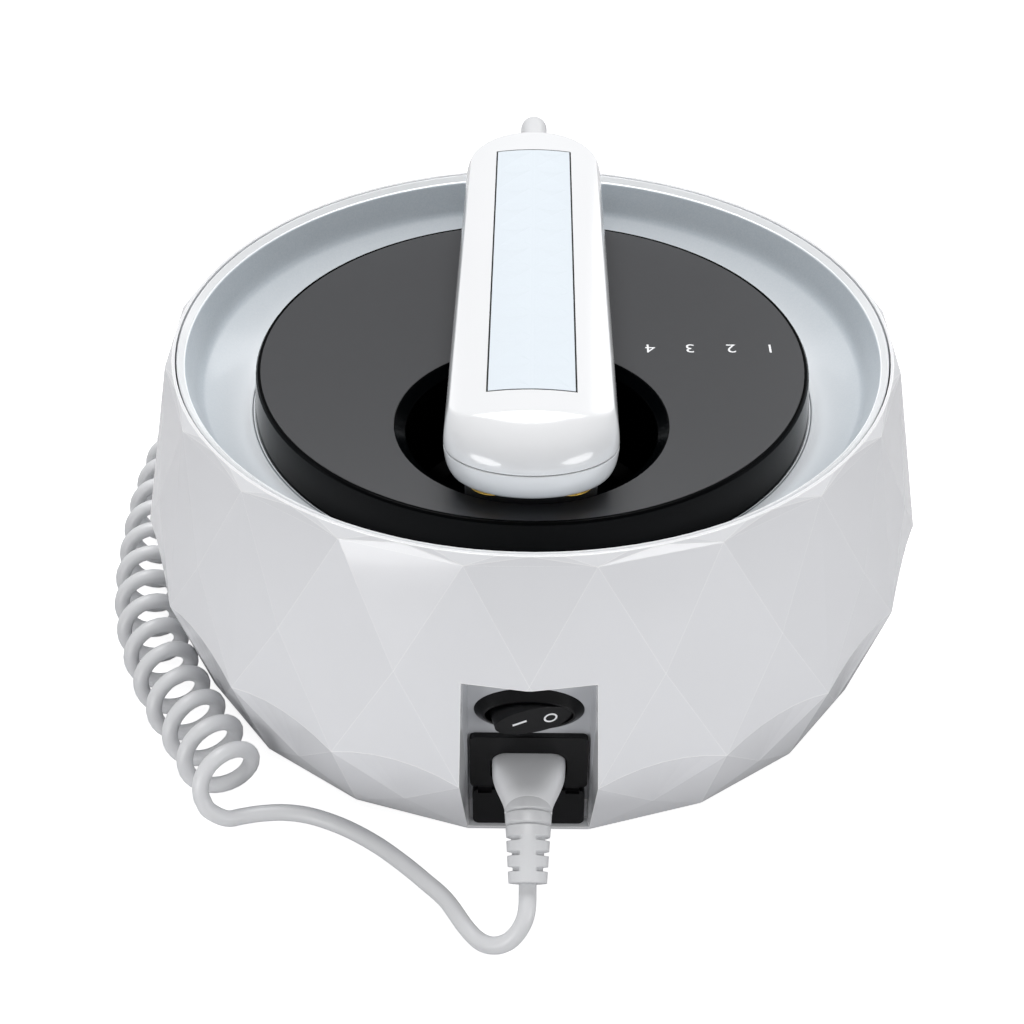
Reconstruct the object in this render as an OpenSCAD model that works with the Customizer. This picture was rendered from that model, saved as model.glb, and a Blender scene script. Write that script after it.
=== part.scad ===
// Facial toning device: a round faceted base with a bowl, a black touch disc with an
// off-centre well, and a corded bar handset whose head rests in that well.
// Millimetres, +Z up. The origin is the centre of the plane the base stands on.
// The mains side faces -Y and the user's side faces +Y.

/* [Base shell] */
// Height of the rim seam above the table
base_h = 92; // [90:1:100]
// Radius of the round seam between the shell and the bowl
seam_r = 97; // [95:0.5:102]
// Number of facets round the shell
facet_n = 20; // [18:2:22]
// How far the rim corners stand out from the seam
rim_land = 2.9; // [2.4:0.1:5]
// How far the rim corners lie below the seam
rim_drop = 2.2; // [1:0.1:4]
// How far the waist corners stand out from the seam
waist_out = 9.2; // [8.4:0.2:11]
// How far the waist corners lie below the seam
waist_drop = 33.2; // [30:0.5:36]
// How far the ridge corners stand out from the seam
ridge_out = 13; // [12:0.5:17]
// Height of the ridge at the two sides
ridge_h = 41.6; // [38:0.2:45]
// How much lower the ridge runs at the back and at the front
ridge_dip = 15; // [8:0.5:18]
// Rise of each scalloped ridge edge above its chord
ridge_arc = 3.4; // [1:0.2:5]
// How far the lower corners stand out from the seam
lower_out = 6.5; // [6:0.1:9]
// Height of the lower corners
lower_h = 12; // [10:0.5:15]
// How far the bottom corners stand out from the seam
bottom_out = 3.6; // [2.5:0.1:4]
// Wall thickness of the shell
shell_wall = 2.9; // [2.2:0.1:3.4]

/* [Rear recess] */
// How far the grey back plate lies inside the seam's radius
recess_in = 0.5; // [0:0.1:1]
// Height of the recess ceiling
recess_top = 57.5; // [55:0.5:58.5]
// Height of the ledge left under the recess
recess_ledge = 3.4; // [3:0.1:4]
// Wall thickness of the back plate moulding
panel_t = 1.6; // [1.2:0.1:1.8]

/* [Bowl] */
// Width of the bright lip
lip_w = 1.8; // [1.4:0.1:2.6]
// Fall of the lip towards the bowl
lip_drop = 1.4; // [0.6:0.1:2]
// Height of the steep bowl wall below the lip
bowl_wall_h = 8.8; // [6:0.2:11]
// How far the bowl wall leans in
bowl_lean = 3.6; // [1:0.2:5]
// Depth of the bowl floor below the seam
bowl_depth = 19.8; // [18:0.2:22]
// Wall thickness of the bowl
bowl_t = 2.2; // [1.8:0.1:2.8]
// Length of the bowl's skirt inside the shell
skirt_h = 16; // [14:0.5:18]

/* [Touch disc] */
// Radius of the disc housing at its foot
disc_r = 77.3; // [75:0.5:80]
// Draft of the disc housing's side
disc_draft = 1.45; // [0.6:0.05:2.5]
// Height of the disc housing
disc_h = 12.4; // [11:0.2:14]
// Thickness of the touch panel
panel_glass_t = 1.2; // [0.8:0.1:1.6]
// Width of the housing's rim round the touch panel
disc_rim = 1.1; // [0.8:0.1:2]
// Width of the disc left between the well's mouth and the disc's foot
well_margin = 9.3; // [8:0.1:11]
// Radius of the well's mouth
well_r = 36; // [35:0.5:38]
// Width of the well's chamfer
well_chamfer = 2.4; // [1.5:0.1:3]
// Depth of the well
well_depth = 32; // [29:0.5:33]

/* [Handset] */
// How far the head's centre lies outside the well's centre
head_shift = 21.2; // [20:0.2:22]
// How far the nose reaches past the head's centre
nose_reach = 20.2; // [19:0.2:21]
// How far the tail stops inside the seam's radius
tail_in = 1; // [0:0.5:4]
// Width of the handset at the nose
nose_w = 43.4; // [41:0.2:45]
// Width of the handset at the tail
tail_w = 41.4; // [38:0.2:42]
// Height of the seam between the two covers above the bowl's seam
hand_seam_up = 4.9; // [4.6:0.1:5.6]
// Height of the top cover above the seam
hand_top_h = 11.6; // [10.5:0.1:13]
// Crown radius of the top face
crown_r = 76; // [60:2:110]
// Depth of the handle below the seam
hand_low_h = 4.2; // [3.8:0.1:4.4]
// Depth of the head below the seam
head_low_h = 8.9; // [8.4:0.1:9.4]
// Width of the decorated inlay
inlay_w = 21.6; // [18:0.2:24]
// Length of the decorated inlay
inlay_l = 130.5; // [120:0.5:132]
// Width of the electrode carrier
carrier_w = 30; // [29:0.2:30.6]
// Length of the electrode carrier
carrier_l = 30.4; // [29:0.2:30.6]
// Radius of each electrode dome
electrode_r = 4.2; // [3.6:0.1:4.6]
// Spacing of the electrodes along X and along Y
electrode_pitch = 18.8; // [17:0.2:19.2]

/* [Mains side] */
// Width of the rocker switch bezel
bezel_w = 27.6; // [25:0.2:28.4]
// Height of the rocker switch bezel
bezel_h = 14.2; // [13.6:0.2:15]
// How far the bezel stands out
bezel_t = 2.2; // [1.6:0.1:3]
// Height of the switch's centre above the table
switch_z = 42.2; // [42:0.1:45]
// Tilt of the rocker to each side, in degrees
rock = 15; // [8:0.5:16]
// Gap at each side of the inlet's face plate
inlet_gap = 0.28; // [0.15:0.01:0.6]
// Height of the top of the inlet's face plate
inlet_top = 34.1; // [32.6:0.1:34.3]
// Height of the split between the socket and the fuse drawer
drawer_split = 16.2; // [15.8:0.1:16.4]
// Travel of the fuse drawer
drawer_travel = 13; // [8:1:14]
// Width of the plug at the socket
plug_w = 18.6; // [16.6:0.2:19]
// Height of the plug at the socket
plug_h = 10.4; // [9:0.2:10.6]

/* [Cord] */
// Diameter of the lead
cord_d = 4.4; // [4:0.1:5]
// Outer diameter of the curly stretch at its first turns
coil_d = 21; // [19:0.1:22]
// How much slimmer the curly stretch is where it is drawn out
coil_slim = 1.2; // [0:0.1:2]

/* [Fits] */
// Clearance between parts that are assembled
fit = 0.15; // [0.1:0.01:0.2]
// Width of the dark seam between the shell and the bowl
seam_gap = 0.4; // [0.25:0.05:0.8]

/* [Hidden] */
$fn = 72;
step = 360 / facet_n;
half = step / 2;
arc_n = 6;
foot_h = 2;
foot_r = 7;
foot_ring_r = 80;
eps = 0.01;
far = 160;

// Shell rings
rim_r = seam_r + rim_land;
waist_r = seam_r + waist_out;
ridge_r = seam_r + ridge_out;
lower_r = seam_r + lower_out;
bottom_r = seam_r + bottom_out;
rim_flat = 0.8;

// Bottom plate and its seat in the shell
plate_z = foot_h + 0.2;
plate_t = 2.4;
plate_r = seam_r - recess_in - 0.9;
seat_w = 2.3;
seat_t = 2;
plate_top = plate_z + plate_t;

// Rear recess
recess_back = seam_r - recess_in;

// Bowl
bowl_r = seam_r - seam_gap;
lip_in_r = bowl_r - lip_w;
lip_z = base_h - lip_drop;
gutter_r = lip_in_r - bowl_lean;
gutter_z = lip_z - bowl_wall_h;
floor_z = base_h - bowl_depth;
skirt_z = base_h - skirt_h;
bowl_hole_r = disc_r - 17.3;
post_ring_r = disc_r - 7.3;
post_r = 5;
post_angles = [45, 135, 225, 315];

// Disc housing
disc_top_z = floor_z + disc_h;
disc_top_r = disc_r - disc_draft;
glass_r = disc_top_r - disc_rim;
glass_z = disc_top_z - panel_glass_t;
deck_t = 2.6;
deck_z = glass_z - deck_t;
disc_wall = 2.2;
boss_ring_r = disc_r - 9.3;
boss_r = 4;
boss_angles = [22, 158, 214, 326];
lamp_ring_r = disc_r - 20;
lamp_angles = [8, 61, 119, 172];
lamp_post_r = 2.6;

// Well cup
well_in_r = well_r - well_chamfer - 0.4;
well_wall = 1.2;
flange_t = 1.2;
flange_w = 2.4;
well_floor_z = disc_top_z - well_depth;
well_floor_t = 2;
well_y = disc_r - well_r - well_margin;

// Handset
head_y = well_y + head_shift;
nose_y = head_y + nose_reach;
tail_y = seam_r - tail_in;
hand_seam_z = base_h + hand_seam_up;
hand_top_z = hand_seam_z + hand_top_h;
hand_low_z = hand_seam_z - hand_low_h;
head_low_z = hand_seam_z - head_low_h;
side_inset = 5;
nose_inset = 17;
tail_inset = 9;
nose_depth = 14;
tail_depth = 20;
cover_wall = 2.2;
groove = 0.35;
low_side_inset = 3.2;
low_nose_inset = 3.6;
low_tail_inset = 8;
inlay_back = 20.7;
inlay_mid_y = inlay_back - nose_y + inlay_l / 2;
head_end = 19;
handle_start = 29;
inlay_t = 1.4;
carrier_t = 1.5;
carrier_drop = 0.6;
carrier_z = head_low_z - carrier_drop;
carrier_corner = 6.5;
dome_h = 2;
dome_gap = 0.3;
gland_r = 4.3;
gland_z = hand_seam_z + 2.6;
gland_in = 7;
gland_straight = 12.4;
gland_bend = 62;
gland_bend_r = 11;
gland_tip = 8;
gland_tip_r = 2.8;
hand_post_r = 3;
hand_board_w = 14;
hand_board_t = 1.4;
hand_screw_front = 48;
hand_screw_back = 24;
hand_screw_y = [
    hand_screw_front - nose_y,
    (hand_screw_front - nose_y + tail_y - hand_screw_back) / 2,
    tail_y - hand_screw_back
];

// Curved boot behind the tail: straight, then bending down, then a tapered tip
function gland_arc(a) =
    [0, tail_y + gland_straight + gland_bend_r * sin(a), gland_z - gland_bend_r * (1 - cos(a))];
gland_dir = [0, cos(gland_bend), -sin(gland_bend)];
gland_end = gland_arc(gland_bend) + gland_tip * gland_dir;

// Cradle in the well
rest_w = 33.2;
rest_l = 24;
rest_back = 4.4;
rest_wall = 2.2;
rest_foot_t = 3;
cheek_gap = 0.1;

// Mains side
back_y = -recess_back;
bezel_slope = 2.3;
bezel_land = 0.5;
switch_depth = 15;
rocker_hole_w = bezel_w - 2 * (bezel_slope + bezel_land);
rocker_hole_h = bezel_h - 2 * (bezel_slope + bezel_land);
rocker_face = 4.4;
rocker_w = 2 * (rocker_hole_w / 2 - 0.3 - rocker_face * sin(rock)) / cos(rock);
rocker_h = rocker_hole_h - 0.5;
rocker_pivot_y = back_y + 0.25;
rocker_pin_r = 1.1;
rocker_pin_l = 0.9;
pin_clear = 0.04;
barrel_in = 1.2;
inlet_plate_t = 1.8;
inlet_low = 3.8;
inlet_w = 2 * (recess_back * tan(half) - inlet_gap);
inlet_body_w = inlet_w - 3.2;
inlet_body_low = 7.2;
inlet_body_top = inlet_top - 1.6;
inlet_depth = 26;
socket_w = plug_w + 0.8;
socket_h = plug_h + 0.6;
socket_z = drawer_split + 1.4 + socket_h / 2;
socket_depth = 14;
pin_r = 1.2;
pin_gap = 8.6;
drawer_plate_t = 2.5;
drawer_side = 1.6;
drawer_w = inlet_body_w - 2 * drawer_side;
drawer_low = inlet_body_low + 1.3;
drawer_top = drawer_split - 1.5;
drawer_l = drawer_travel + 4;
drawer_fit = 0.25;
fuse_r = 2.6;
fuse_l = 20;
fuse_y = back_y + 8.6;
fuse_z = drawer_low + 0.7 + fuse_r;

// Plug and strain relief: the relief bends down to this angle
droop = 36;
plug_body = 14.1;
plug_drop = 0.8;
relief_l = 19;
relief_r0 = 5.9;
relief_r1 = 4.7;
relief_cut = 1;
relief_ribs = 5;
plug_face_y = back_y - inlet_plate_t;
plug_end = [0, plug_face_y - plug_body, socket_z - plug_drop];
relief_bend_r = relief_l * 180 / PI / droop;
function relief_arc(a) = plug_end + relief_bend_r * [0, -sin(a), cos(a) - 1];
droop_dir = [0, -cos(droop), -sin(droop)];
relief_end = relief_arc(droop);

// Boards
board_t = 1.6;
board_gap = 9;
board_w = 82;
inlet_space = 33.5;
board_l = recess_back - board_gap - inlet_space;
board_edge = 5;
board_post_r = 3;
board_z = plate_top + 7.4;
board_top = board_z + board_t;
touch_board_z = deck_z - 5.9;
touch_board_r = disc_r - 7;
touch_board_cut = 24;
cap_r = 5;
cap_h = 22;
relay = [16, 7, 14];
sink = [3, board_l - 26, 24];
rf_sink = [12, board_l - 24, 20];
rf_cap_r = 4;
rf_cap_h = 12;
coil_ring_r = 11;
coil_wire_r = 5.3;
buzzer_r = 6;
buzzer_h = 5;
lamp_r = 1.5;
display = [19, 12];

// Transformer: laminated core with the winding round its middle leg
core_w = 42;
core_h = 28;
core_d = 14;
core_leg = 8;
core_window = 9.5;
core_yoke = 6;
core_x = 10;
core_y = 23 - board_gap - board_l;
winding_w = core_leg + 18.4;
winding_d = core_d + 14;

// Ventilation slots
vent_w = 2;
vent_l = 24;
vent_pitch = 6;
vent_n = 11;

// Screws: shank radius, shank length, head radius, head height
case_screw = [1.9, 10, 3.6, 1.3];
disc_screw = [1.4, 8, 2.8, 1.2];
lamp_screw = [1.05, 5.5, 2.2, 1];
board_screw = [1.15, 6.5, 2.6, 1.1];
hand_screw = [1.1, 7.5, 2, 1];

// Route of the lead from the plug to the curly stretch, chosen by hand
lie = cord_d / 2 + 0.2;
lead_a = [
    relief_end,
    [-0.2, -135.5, 12.6],
    [-1.7, -138.2, 9.5],
    [-4.4, -139.5, 6.4],
    [-8, -138.9, 3.9],
    [-11.6, -136.5, lie + 0.1],
    [-15.2, -132.1, lie],
    [-20.4, -123.7, lie],
    [-26, -117.7, lie],
    [-32, -111.8, lie],
    [-39.5, -105.4, lie],
    [-48, -99.9, lie],
    [-56.9, -96.1, lie],
    [-64.2, -94.9, lie],
    [-70.6, -95.4, lie],
    [-75.1, -96.6, lie + 0.2],
    [-78.8, -98.4, lie + 1.3],
    [-81.6, -100.6, lie + 3.5]
];
// Centre line of the curly stretch in plan, round the left side and behind the base
coil_plan = [
    [-75.4, -97], [-78.4, -91.7], [-82, -85.2], [-86.2, -77.6], [-91.4, -69.2], [-97.3, -59.3],
    [-103, -47.5], [-108.2, -34.8], [-112, -20.8], [-114.2, -6.4], [-115.4, 8.8], [-116.2, 24],
    [-116, 39.3], [-114.8, 54.6], [-111.9, 69.4], [-106.4, 83.2], [-98.6, 96], [-88.6, 107.4],
    [-76.6, 117]
];
coil_r = [
    for (i = [0 : len(coil_plan) - 1])
        let (t = min(1, i / 7))
            (coil_d - coil_slim * t * t * (3 - 2 * t)) / 2
];
coil_line = [
    for (i = [0 : len(coil_plan) - 1])
        [coil_plan[i][0], coil_plan[i][1], coil_r[i] + 0.1]
];
// Route of the lead from the curly stretch up to the handset's gland
lead_b = [
    [-76.6, 117, lie],
    [-72, 120.4, lie],
    [-63, 125.4, lie],
    [-52, 129.4, lie],
    [-40, 132.2, lie],
    [-28, 134.6, 4.6],
    [-18, 136.6, 11.6],
    [-10.4, 138, 22.6],
    [-5.4, 138, 36],
    [-2.6, 136, 50],
    [-1, 132.4, 63],
    [-0.2, 128.2, 74],
    gland_end
];

// ---------- helpers ----------

function unit(v) = v / norm(v);
function lerp(a, b, t) = a + (b - a) * t;
function flat(v) = [v[0], v[1], 0];
function on_ring(r, angle, z) = [r * cos(angle), r * sin(angle), z];
function flatten(lists) = [for (list = lists) for (item = list) item];

// Closed solid through a stack of rings with the same number of points.
// Seen from the last ring towards the first, the points of a ring run clockwise.
// With mirrored rings the last one may be bent: it is closed by strips from side to side.
module skin(rings, mirrored = false) {
    m = len(rings[0]);
    last = len(rings) - 1;
    sides = [
        for (i = [0 : last - 1])
            for (j = [0 : m - 1])
                let (a = i * m + j, b = i * m + (j + 1) % m)
                    each [[a, b + m, a + m], [a, b, b + m]]
    ];
    first_cap = [[for (j = [m - 1 : -1 : 0]) j]];
    flat_cap = [[for (j = [0 : m - 1]) last * m + j]];
    strips = [
        for (j = [0 : m / 2 - 1])
            let (o = last * m, back = o + m - j)
                j == 0
                    ? [o, o + 1, back - 1]
                    : j == m / 2 - 1 ? [o + j, o + j + 1, back] : [o + j, o + j + 1, back - 1, back]
    ];
    last_cap = mirrored ? strips : flat_cap;
    polyhedron(points = flatten(rings), faces = concat(sides, first_cap, last_cap), convexity = 6);
}

// Directions across a path, carried from one point to the next without twist
function across(tangents, n, i = 0) =
    i == len(tangents)
        ? []
        : let (side = unit(n - (n * tangents[i]) * tangents[i]))
            concat([side], across(tangents, side, i + 1));

// Round tube along a path, of one radius or one for each point.
// The end rings stand square to start_dir and end_dir.
module tube(path, radius, sides, start_dir, end_dir) {
    last = len(path) - 1;
    radii = is_list(radius) ? radius : [for (p = path) radius];
    tangents = [
        for (i = [0 : last])
            i == 0 ? start_dir : i == last ? end_dir : unit(path[i + 1] - path[i - 1])
    ];
    across_dirs = across(tangents, [1, 0.1, 0.05]);
    rings = [
        for (i = [0 : last])
            let (u = across_dirs[i], v = cross(tangents[i], u))
                [for (j = [0 : sides - 1])
                    path[i] + radii[i] * (cos(-360 * j / sides) * u + sin(-360 * j / sides) * v)]
    ];
    skin(rings);
}

// Plate of the children's outline in X and Z, from y towards -Y by depth
module back_slab(y, depth) {
    translate([0, y, 0])
        rotate([90, 0, 0])
            linear_extrude(depth)
                children();
}

module rounded_rect(w, h, r) {
    square([w - 2 * r, h], center = true);
    square([w, h - 2 * r], center = true);
    for (x = [-1, 1])
        for (y = [-1, 1])
            translate([x * (w / 2 - r), y * (h / 2 - r)])
                circle(r);
}

module oval(w, h) {
    resize([w, h])
        circle(d = w, $fn = 64);
}

// Points of an upright oval at the depth y, clockwise seen from -Y
function oval_ring(w, h, y) = [
    for (j = [0 : 63])
        let (a = -360 * j / 64)
            [w / 2 * cos(a), y, h / 2 * sin(a)]
];

module at_angles(angles, r) {
    for (a = angles)
        translate(on_ring(r, a, 0))
            children();
}

// Pan-head screw standing head down, with the underside of its head at z = 0
module screw(size) {
    head_r = size[2];
    head_h = size[3];
    cylinder(r = size[0], h = size[1], $fn = 24);
    difference() {
        translate([0, 0, -head_h])
            cylinder(r = head_r, h = head_h, $fn = 32);
        for (turn = [0, 90])
            rotate([0, 0, turn])
                translate([0, 0, -head_h])
                    cube([head_r * 1.1, head_r * 0.3, head_h], center = true);
    }
}

// ---------- faceted base shell ----------

function vertex_angle(k) = -90 + step * (k + 0.5);
function waist_angle(k) = -90 + step * k;
function rim_corner(k) = on_ring(rim_r, vertex_angle(k), base_h - rim_drop);
function waist_corner(k) = on_ring(waist_r, waist_angle(k), base_h - waist_drop);
function ridge_corner(k) =
    on_ring(ridge_r, vertex_angle(k), ridge_h - ridge_dip * abs(sin(vertex_angle(k))));
function lower_corner(k) = on_ring(lower_r, waist_angle(k), lower_h);
function bottom_corner(k) = on_ring(bottom_r, vertex_angle(k), foot_h);
// Scalloped edge between two ridge corners: it rises in the plane of the facet above it
function ridge_edge(k, t) =
    let (
        a = ridge_corner(k - 1),
        b = ridge_corner(k),
        rise = unit(waist_corner(k) - (a + b) / 2)
    )
        lerp(a, b, t) + ridge_arc * 4 * t * (1 - t) * rise;

module gem_body() {
    n = facet_n;
    m = arc_n - 1;
    rim_n = 4;
    waist_0 = n;
    ridge_0 = 2 * n;
    lower_0 = 3 * n;
    bottom_0 = 4 * n;
    edge_0 = 5 * n;
    circle_0 = edge_0 + n * m;
    all_k = [0 : n - 1];
    points = concat(
        [for (k = all_k) rim_corner(k)],
        [for (k = all_k) waist_corner(k)],
        [for (k = all_k) ridge_corner(k)],
        [for (k = all_k) lower_corner(k)],
        [for (k = all_k) bottom_corner(k)],
        [for (k = all_k) for (j = [1 : m]) ridge_edge(k, j / arc_n)],
        [for (i = [0 : rim_n * n - 1]) on_ring(seam_r + rim_flat, -90 + step * i / rim_n, base_h)]
    );
    faces = concat(
        flatten([
            for (k = all_k)
                let (
                    before = (k + n - 1) % n,
                    after = (k + 1) % n,
                    left = ridge_0 + before,
                    right = ridge_0 + k,
                    edge = concat([left], [for (j = [0 : m - 1]) edge_0 + k * m + j], [right]),
                    top = [for (i = [-2 : 2]) circle_0 + (rim_n * k + i + rim_n * n) % (rim_n * n)]
                )
                    concat(
                        [
                            [before, k, waist_0 + k],
                            [k, waist_0 + after, right],
                            [k, right, waist_0 + k],
                            [right, lower_0 + after, bottom_0 + k],
                            [right, bottom_0 + k, lower_0 + k],
                            [lower_0 + k, bottom_0 + k, bottom_0 + before],
                            [top[0], top[1], before],
                            [top[1], top[2], before],
                            [top[2], k, before],
                            [top[2], top[3], k],
                            [top[3], top[4], k]
                        ],
                        [for (j = [0 : arc_n - 1]) [waist_0 + k, edge[j + 1], edge[j]]],
                        [for (j = [0 : arc_n - 1]) [lower_0 + k, edge[j], edge[j + 1]]]
                    )
        ]),
        [[for (k = all_k) bottom_0 + k]],
        [[for (i = [rim_n * n - 1 : -1 : 0]) circle_0 + i]]
    );
    polyhedron(points = points, faces = faces, convexity = 6);
}

// Hollow of the shell, drawn in by a clearance
module shell_hollow(inset) {
    rotate_extrude($fn = 120)
        polygon([
            [0, -1],
            [plate_r - inset, -1],
            [plate_r - inset, plate_top],
            [plate_r - seat_w - inset, plate_top],
            [plate_r - seat_w - inset, plate_top + seat_t],
            [lower_r * cos(half) - shell_wall - inset, lower_h],
            [ridge_r * cos(half) - shell_wall - 1.1 - inset, ridge_h],
            [waist_r * cos(half) - shell_wall - inset, base_h - waist_drop],
            [seam_r - seat_w - inset, skirt_z - 4],
            [seam_r - seat_w - inset, skirt_z],
            [seam_r - inset, skirt_z],
            [seam_r - inset, base_h + 1],
            [0, base_h + 1]
        ]);
}

// Wedge of the rear recess between two radial planes, moved out by grow
module recess_wedge(grow, y_from, z_low, z_high) {
    shift = grow / cos(half);
    near_w = y_from * tan(half) + shift;
    far_w = far * tan(half) + shift;
    translate([0, 0, z_low])
        linear_extrude(z_high - z_low)
            polygon([[-near_w, -y_from], [near_w, -y_from], [far_w, -far], [-far_w, -far]]);
}

module outer_shell() {
    color("whitesmoke")
        difference() {
            gem_body();
            shell_hollow(0);
            recess_wedge(3 * eps, recess_back, recess_ledge, recess_top);
            translate([-inlet_body_w / 2 - 2 * fit, back_y - 1, inlet_body_low - 2 * fit])
                cube([inlet_body_w + 4 * fit, shell_wall + 6, inlet_top - inlet_body_low]);
        }
}

// Grey moulding behind the opening of the shell: back plate, cheeks and ceiling
module rear_panel() {
    low = plate_top + seat_t + 0.3;
    color("darkgray")
        difference() {
            intersection() {
                recess_wedge(panel_t, recess_back - panel_t, low, recess_top + panel_t);
                shell_hollow(fit);
            }
            recess_wedge(0, recess_back, low - 1, recess_top);
            translate([0, 0, switch_z])
                back_slab(back_y + panel_t + 1, panel_t + 2)
                    oval(bezel_w - barrel_in + 2 * fit, bezel_h - barrel_in + 2 * fit);
            translate([-inlet_body_w / 2 - fit, back_y - 1, low - 1])
                cube([inlet_body_w + 2 * fit, panel_t + 2, inlet_body_top + fit - low + 1]);
        }
}

// ---------- bottom ----------

module bottom_plate() {
    color("gainsboro")
        difference() {
            union() {
                translate([0, 0, plate_z])
                    cylinder(r = plate_r - fit, h = plate_t, $fn = 120);
                at_board_corners()
                    translate([0, 0, plate_top - eps])
                        cylinder(r = board_post_r, h = board_z - plate_top + eps, $fn = 24);
            }
            at_angles(post_angles, post_ring_r) {
                translate([0, 0, plate_z - 1])
                    cylinder(r = case_screw[0] + 0.3, h = plate_t + 2, $fn = 24);
                translate([0, 0, plate_z - 1])
                    cylinder(r = case_screw[2] + 0.6, h = 2.4, $fn = 32);
            }
            at_board_corners()
                translate([0, 0, board_z - 6])
                    cylinder(r = board_screw[0] + 0.05, h = 7, $fn = 24);
            for (i = [0 : vent_n - 1])
                translate([vent_pitch * (i - (vent_n - 1) / 2), 0, plate_z - 1])
                    linear_extrude(plate_t + 2)
                        rounded_rect(vent_w, vent_l, vent_w / 2 - 0.1);
        }
}

module at_board_corners() {
    near = board_gap + board_edge;
    far_side = board_gap + board_l - board_edge;
    for (x = [-1, 1])
        for (y = [-far_side, -near, near, far_side])
            translate([x * (board_w / 2 - board_edge), y, 0])
                children();
}

module feet() {
    color("dimgray")
        at_angles([0, 90, 180, 270], foot_ring_r)
            rotate_extrude()
                polygon([[0, 0], [foot_r - 0.6, 0], [foot_r, 0.6], [foot_r, plate_z], [0, plate_z]]);
}

module bottom_screws() {
    color("silver")
        at_angles(post_angles, post_ring_r)
            translate([0, 0, plate_z + 1.4])
                screw(case_screw);
}

// ---------- bowl ----------

function gutter_point(s, drop) =
    [lerp(disc_r + 1, gutter_r, s) + drop * 0.7 * s, lerp(floor_z, gutter_z, pow(s, 1.4)) - drop];

module inner_bowl() {
    steps = [0 : 1 / 6 : 1];
    back = [1 : -1 / 6 : 0];
    color("lightsteelblue")
        difference() {
            union() {
                rotate_extrude($fn = 120)
                    polygon(concat(
                        [
                            [bowl_r, skirt_z],
                            [bowl_r, base_h - 0.5],
                            [bowl_r - 0.5, base_h],
                            [lip_in_r, lip_z]
                        ],
                        [for (s = back) gutter_point(s, 0)],
                        [[bowl_hole_r, floor_z], [bowl_hole_r, floor_z - bowl_t]],
                        [for (s = steps) gutter_point(s, bowl_t)],
                        [[bowl_r - bowl_t, gutter_z + 1], [bowl_r - bowl_t, skirt_z]]
                    ));
                at_angles(post_angles, post_ring_r)
                    translate([0, 0, plate_top])
                        cylinder(r1 = post_r - 0.6, r2 = post_r, h = floor_z - plate_top - 1, $fn = 32);
            }
            at_well(floor_z - bowl_t - 1)
                cylinder(r = well_in_r + well_wall + 1, h = bowl_t + 2);
            at_angles(post_angles, post_ring_r)
                translate([0, 0, plate_top - 1])
                    cylinder(r = case_screw[0] + 0.05, h = 15, $fn = 24);
            at_angles(boss_angles, boss_ring_r)
                translate([0, 0, floor_z - bowl_t - 1])
                    cylinder(r = disc_screw[0] + 0.3, h = bowl_t + 2, $fn = 24);
        }
}

module at_well(z) {
    translate([0, -well_y, z])
        children();
}

// ---------- touch disc ----------

module disc_housing() {
    color([0.07, 0.075, 0.08])
        difference() {
            union() {
                rotate_extrude($fn = 120)
                    polygon([
                        [disc_r, floor_z],
                        [disc_top_r + 0.2, disc_top_z - 0.7],
                        [disc_top_r - 0.3, disc_top_z],
                        [glass_r + fit, disc_top_z],
                        [glass_r + fit, glass_z],
                        [0, glass_z],
                        [0, deck_z],
                        [disc_top_r - disc_wall, deck_z],
                        [disc_r - disc_wall, floor_z]
                    ]);
                at_angles(boss_angles, boss_ring_r)
                    translate([0, 0, floor_z])
                        cylinder(r = boss_r, h = glass_z - floor_z - 1, $fn = 32);
                at_lamp_posts()
                    translate([0, 0, touch_board_z + board_t])
                        cylinder(r = lamp_post_r, h = glass_z - 1 - touch_board_z - board_t, $fn = 24);
            }
            at_well(glass_z - flange_t)
                cylinder(r = well_r + flange_w + fit, h = 4);
            at_well(deck_z - 9)
                cylinder(r = well_in_r + well_wall + fit, h = 14);
            at_angles(boss_angles, boss_ring_r)
                translate([0, 0, floor_z - 1])
                    cylinder(r = disc_screw[0] + 0.05, h = 9, $fn = 24);
            at_lamp_posts()
                translate([0, 0, touch_board_z])
                    cylinder(r = lamp_screw[0] + 0.05, h = 6, $fn = 24);
        }
}

module at_lamp_posts() {
    at_angles(lamp_angles, lamp_ring_r)
        children();
}

module touch_panel() {
    color([0.29, 0.295, 0.31])
        difference() {
            translate([0, 0, glass_z])
                cylinder(r = glass_r, h = panel_glass_t, $fn = 120);
            at_well(glass_z - 1)
                cylinder(r = well_r + fit, h = panel_glass_t + 2);
        }
}

module well_cup() {
    color([0.05, 0.05, 0.055])
        at_well(0)
            difference() {
                rotate_extrude($fn = 96)
                    polygon([
                        [0, well_floor_z - well_floor_t],
                        [well_in_r - 3, well_floor_z - well_floor_t],
                        [well_in_r + well_wall, well_floor_z + 3],
                        [well_in_r + well_wall, glass_z - flange_t],
                        [well_r + flange_w, glass_z - flange_t],
                        [well_r + flange_w, glass_z],
                        [well_r, glass_z],
                        [well_r, disc_top_z],
                        [well_in_r, disc_top_z - well_chamfer],
                        [well_in_r, well_floor_z + 3],
                        [well_in_r - 3, well_floor_z],
                        [0, well_floor_z]
                    ]);
            }
}

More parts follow.
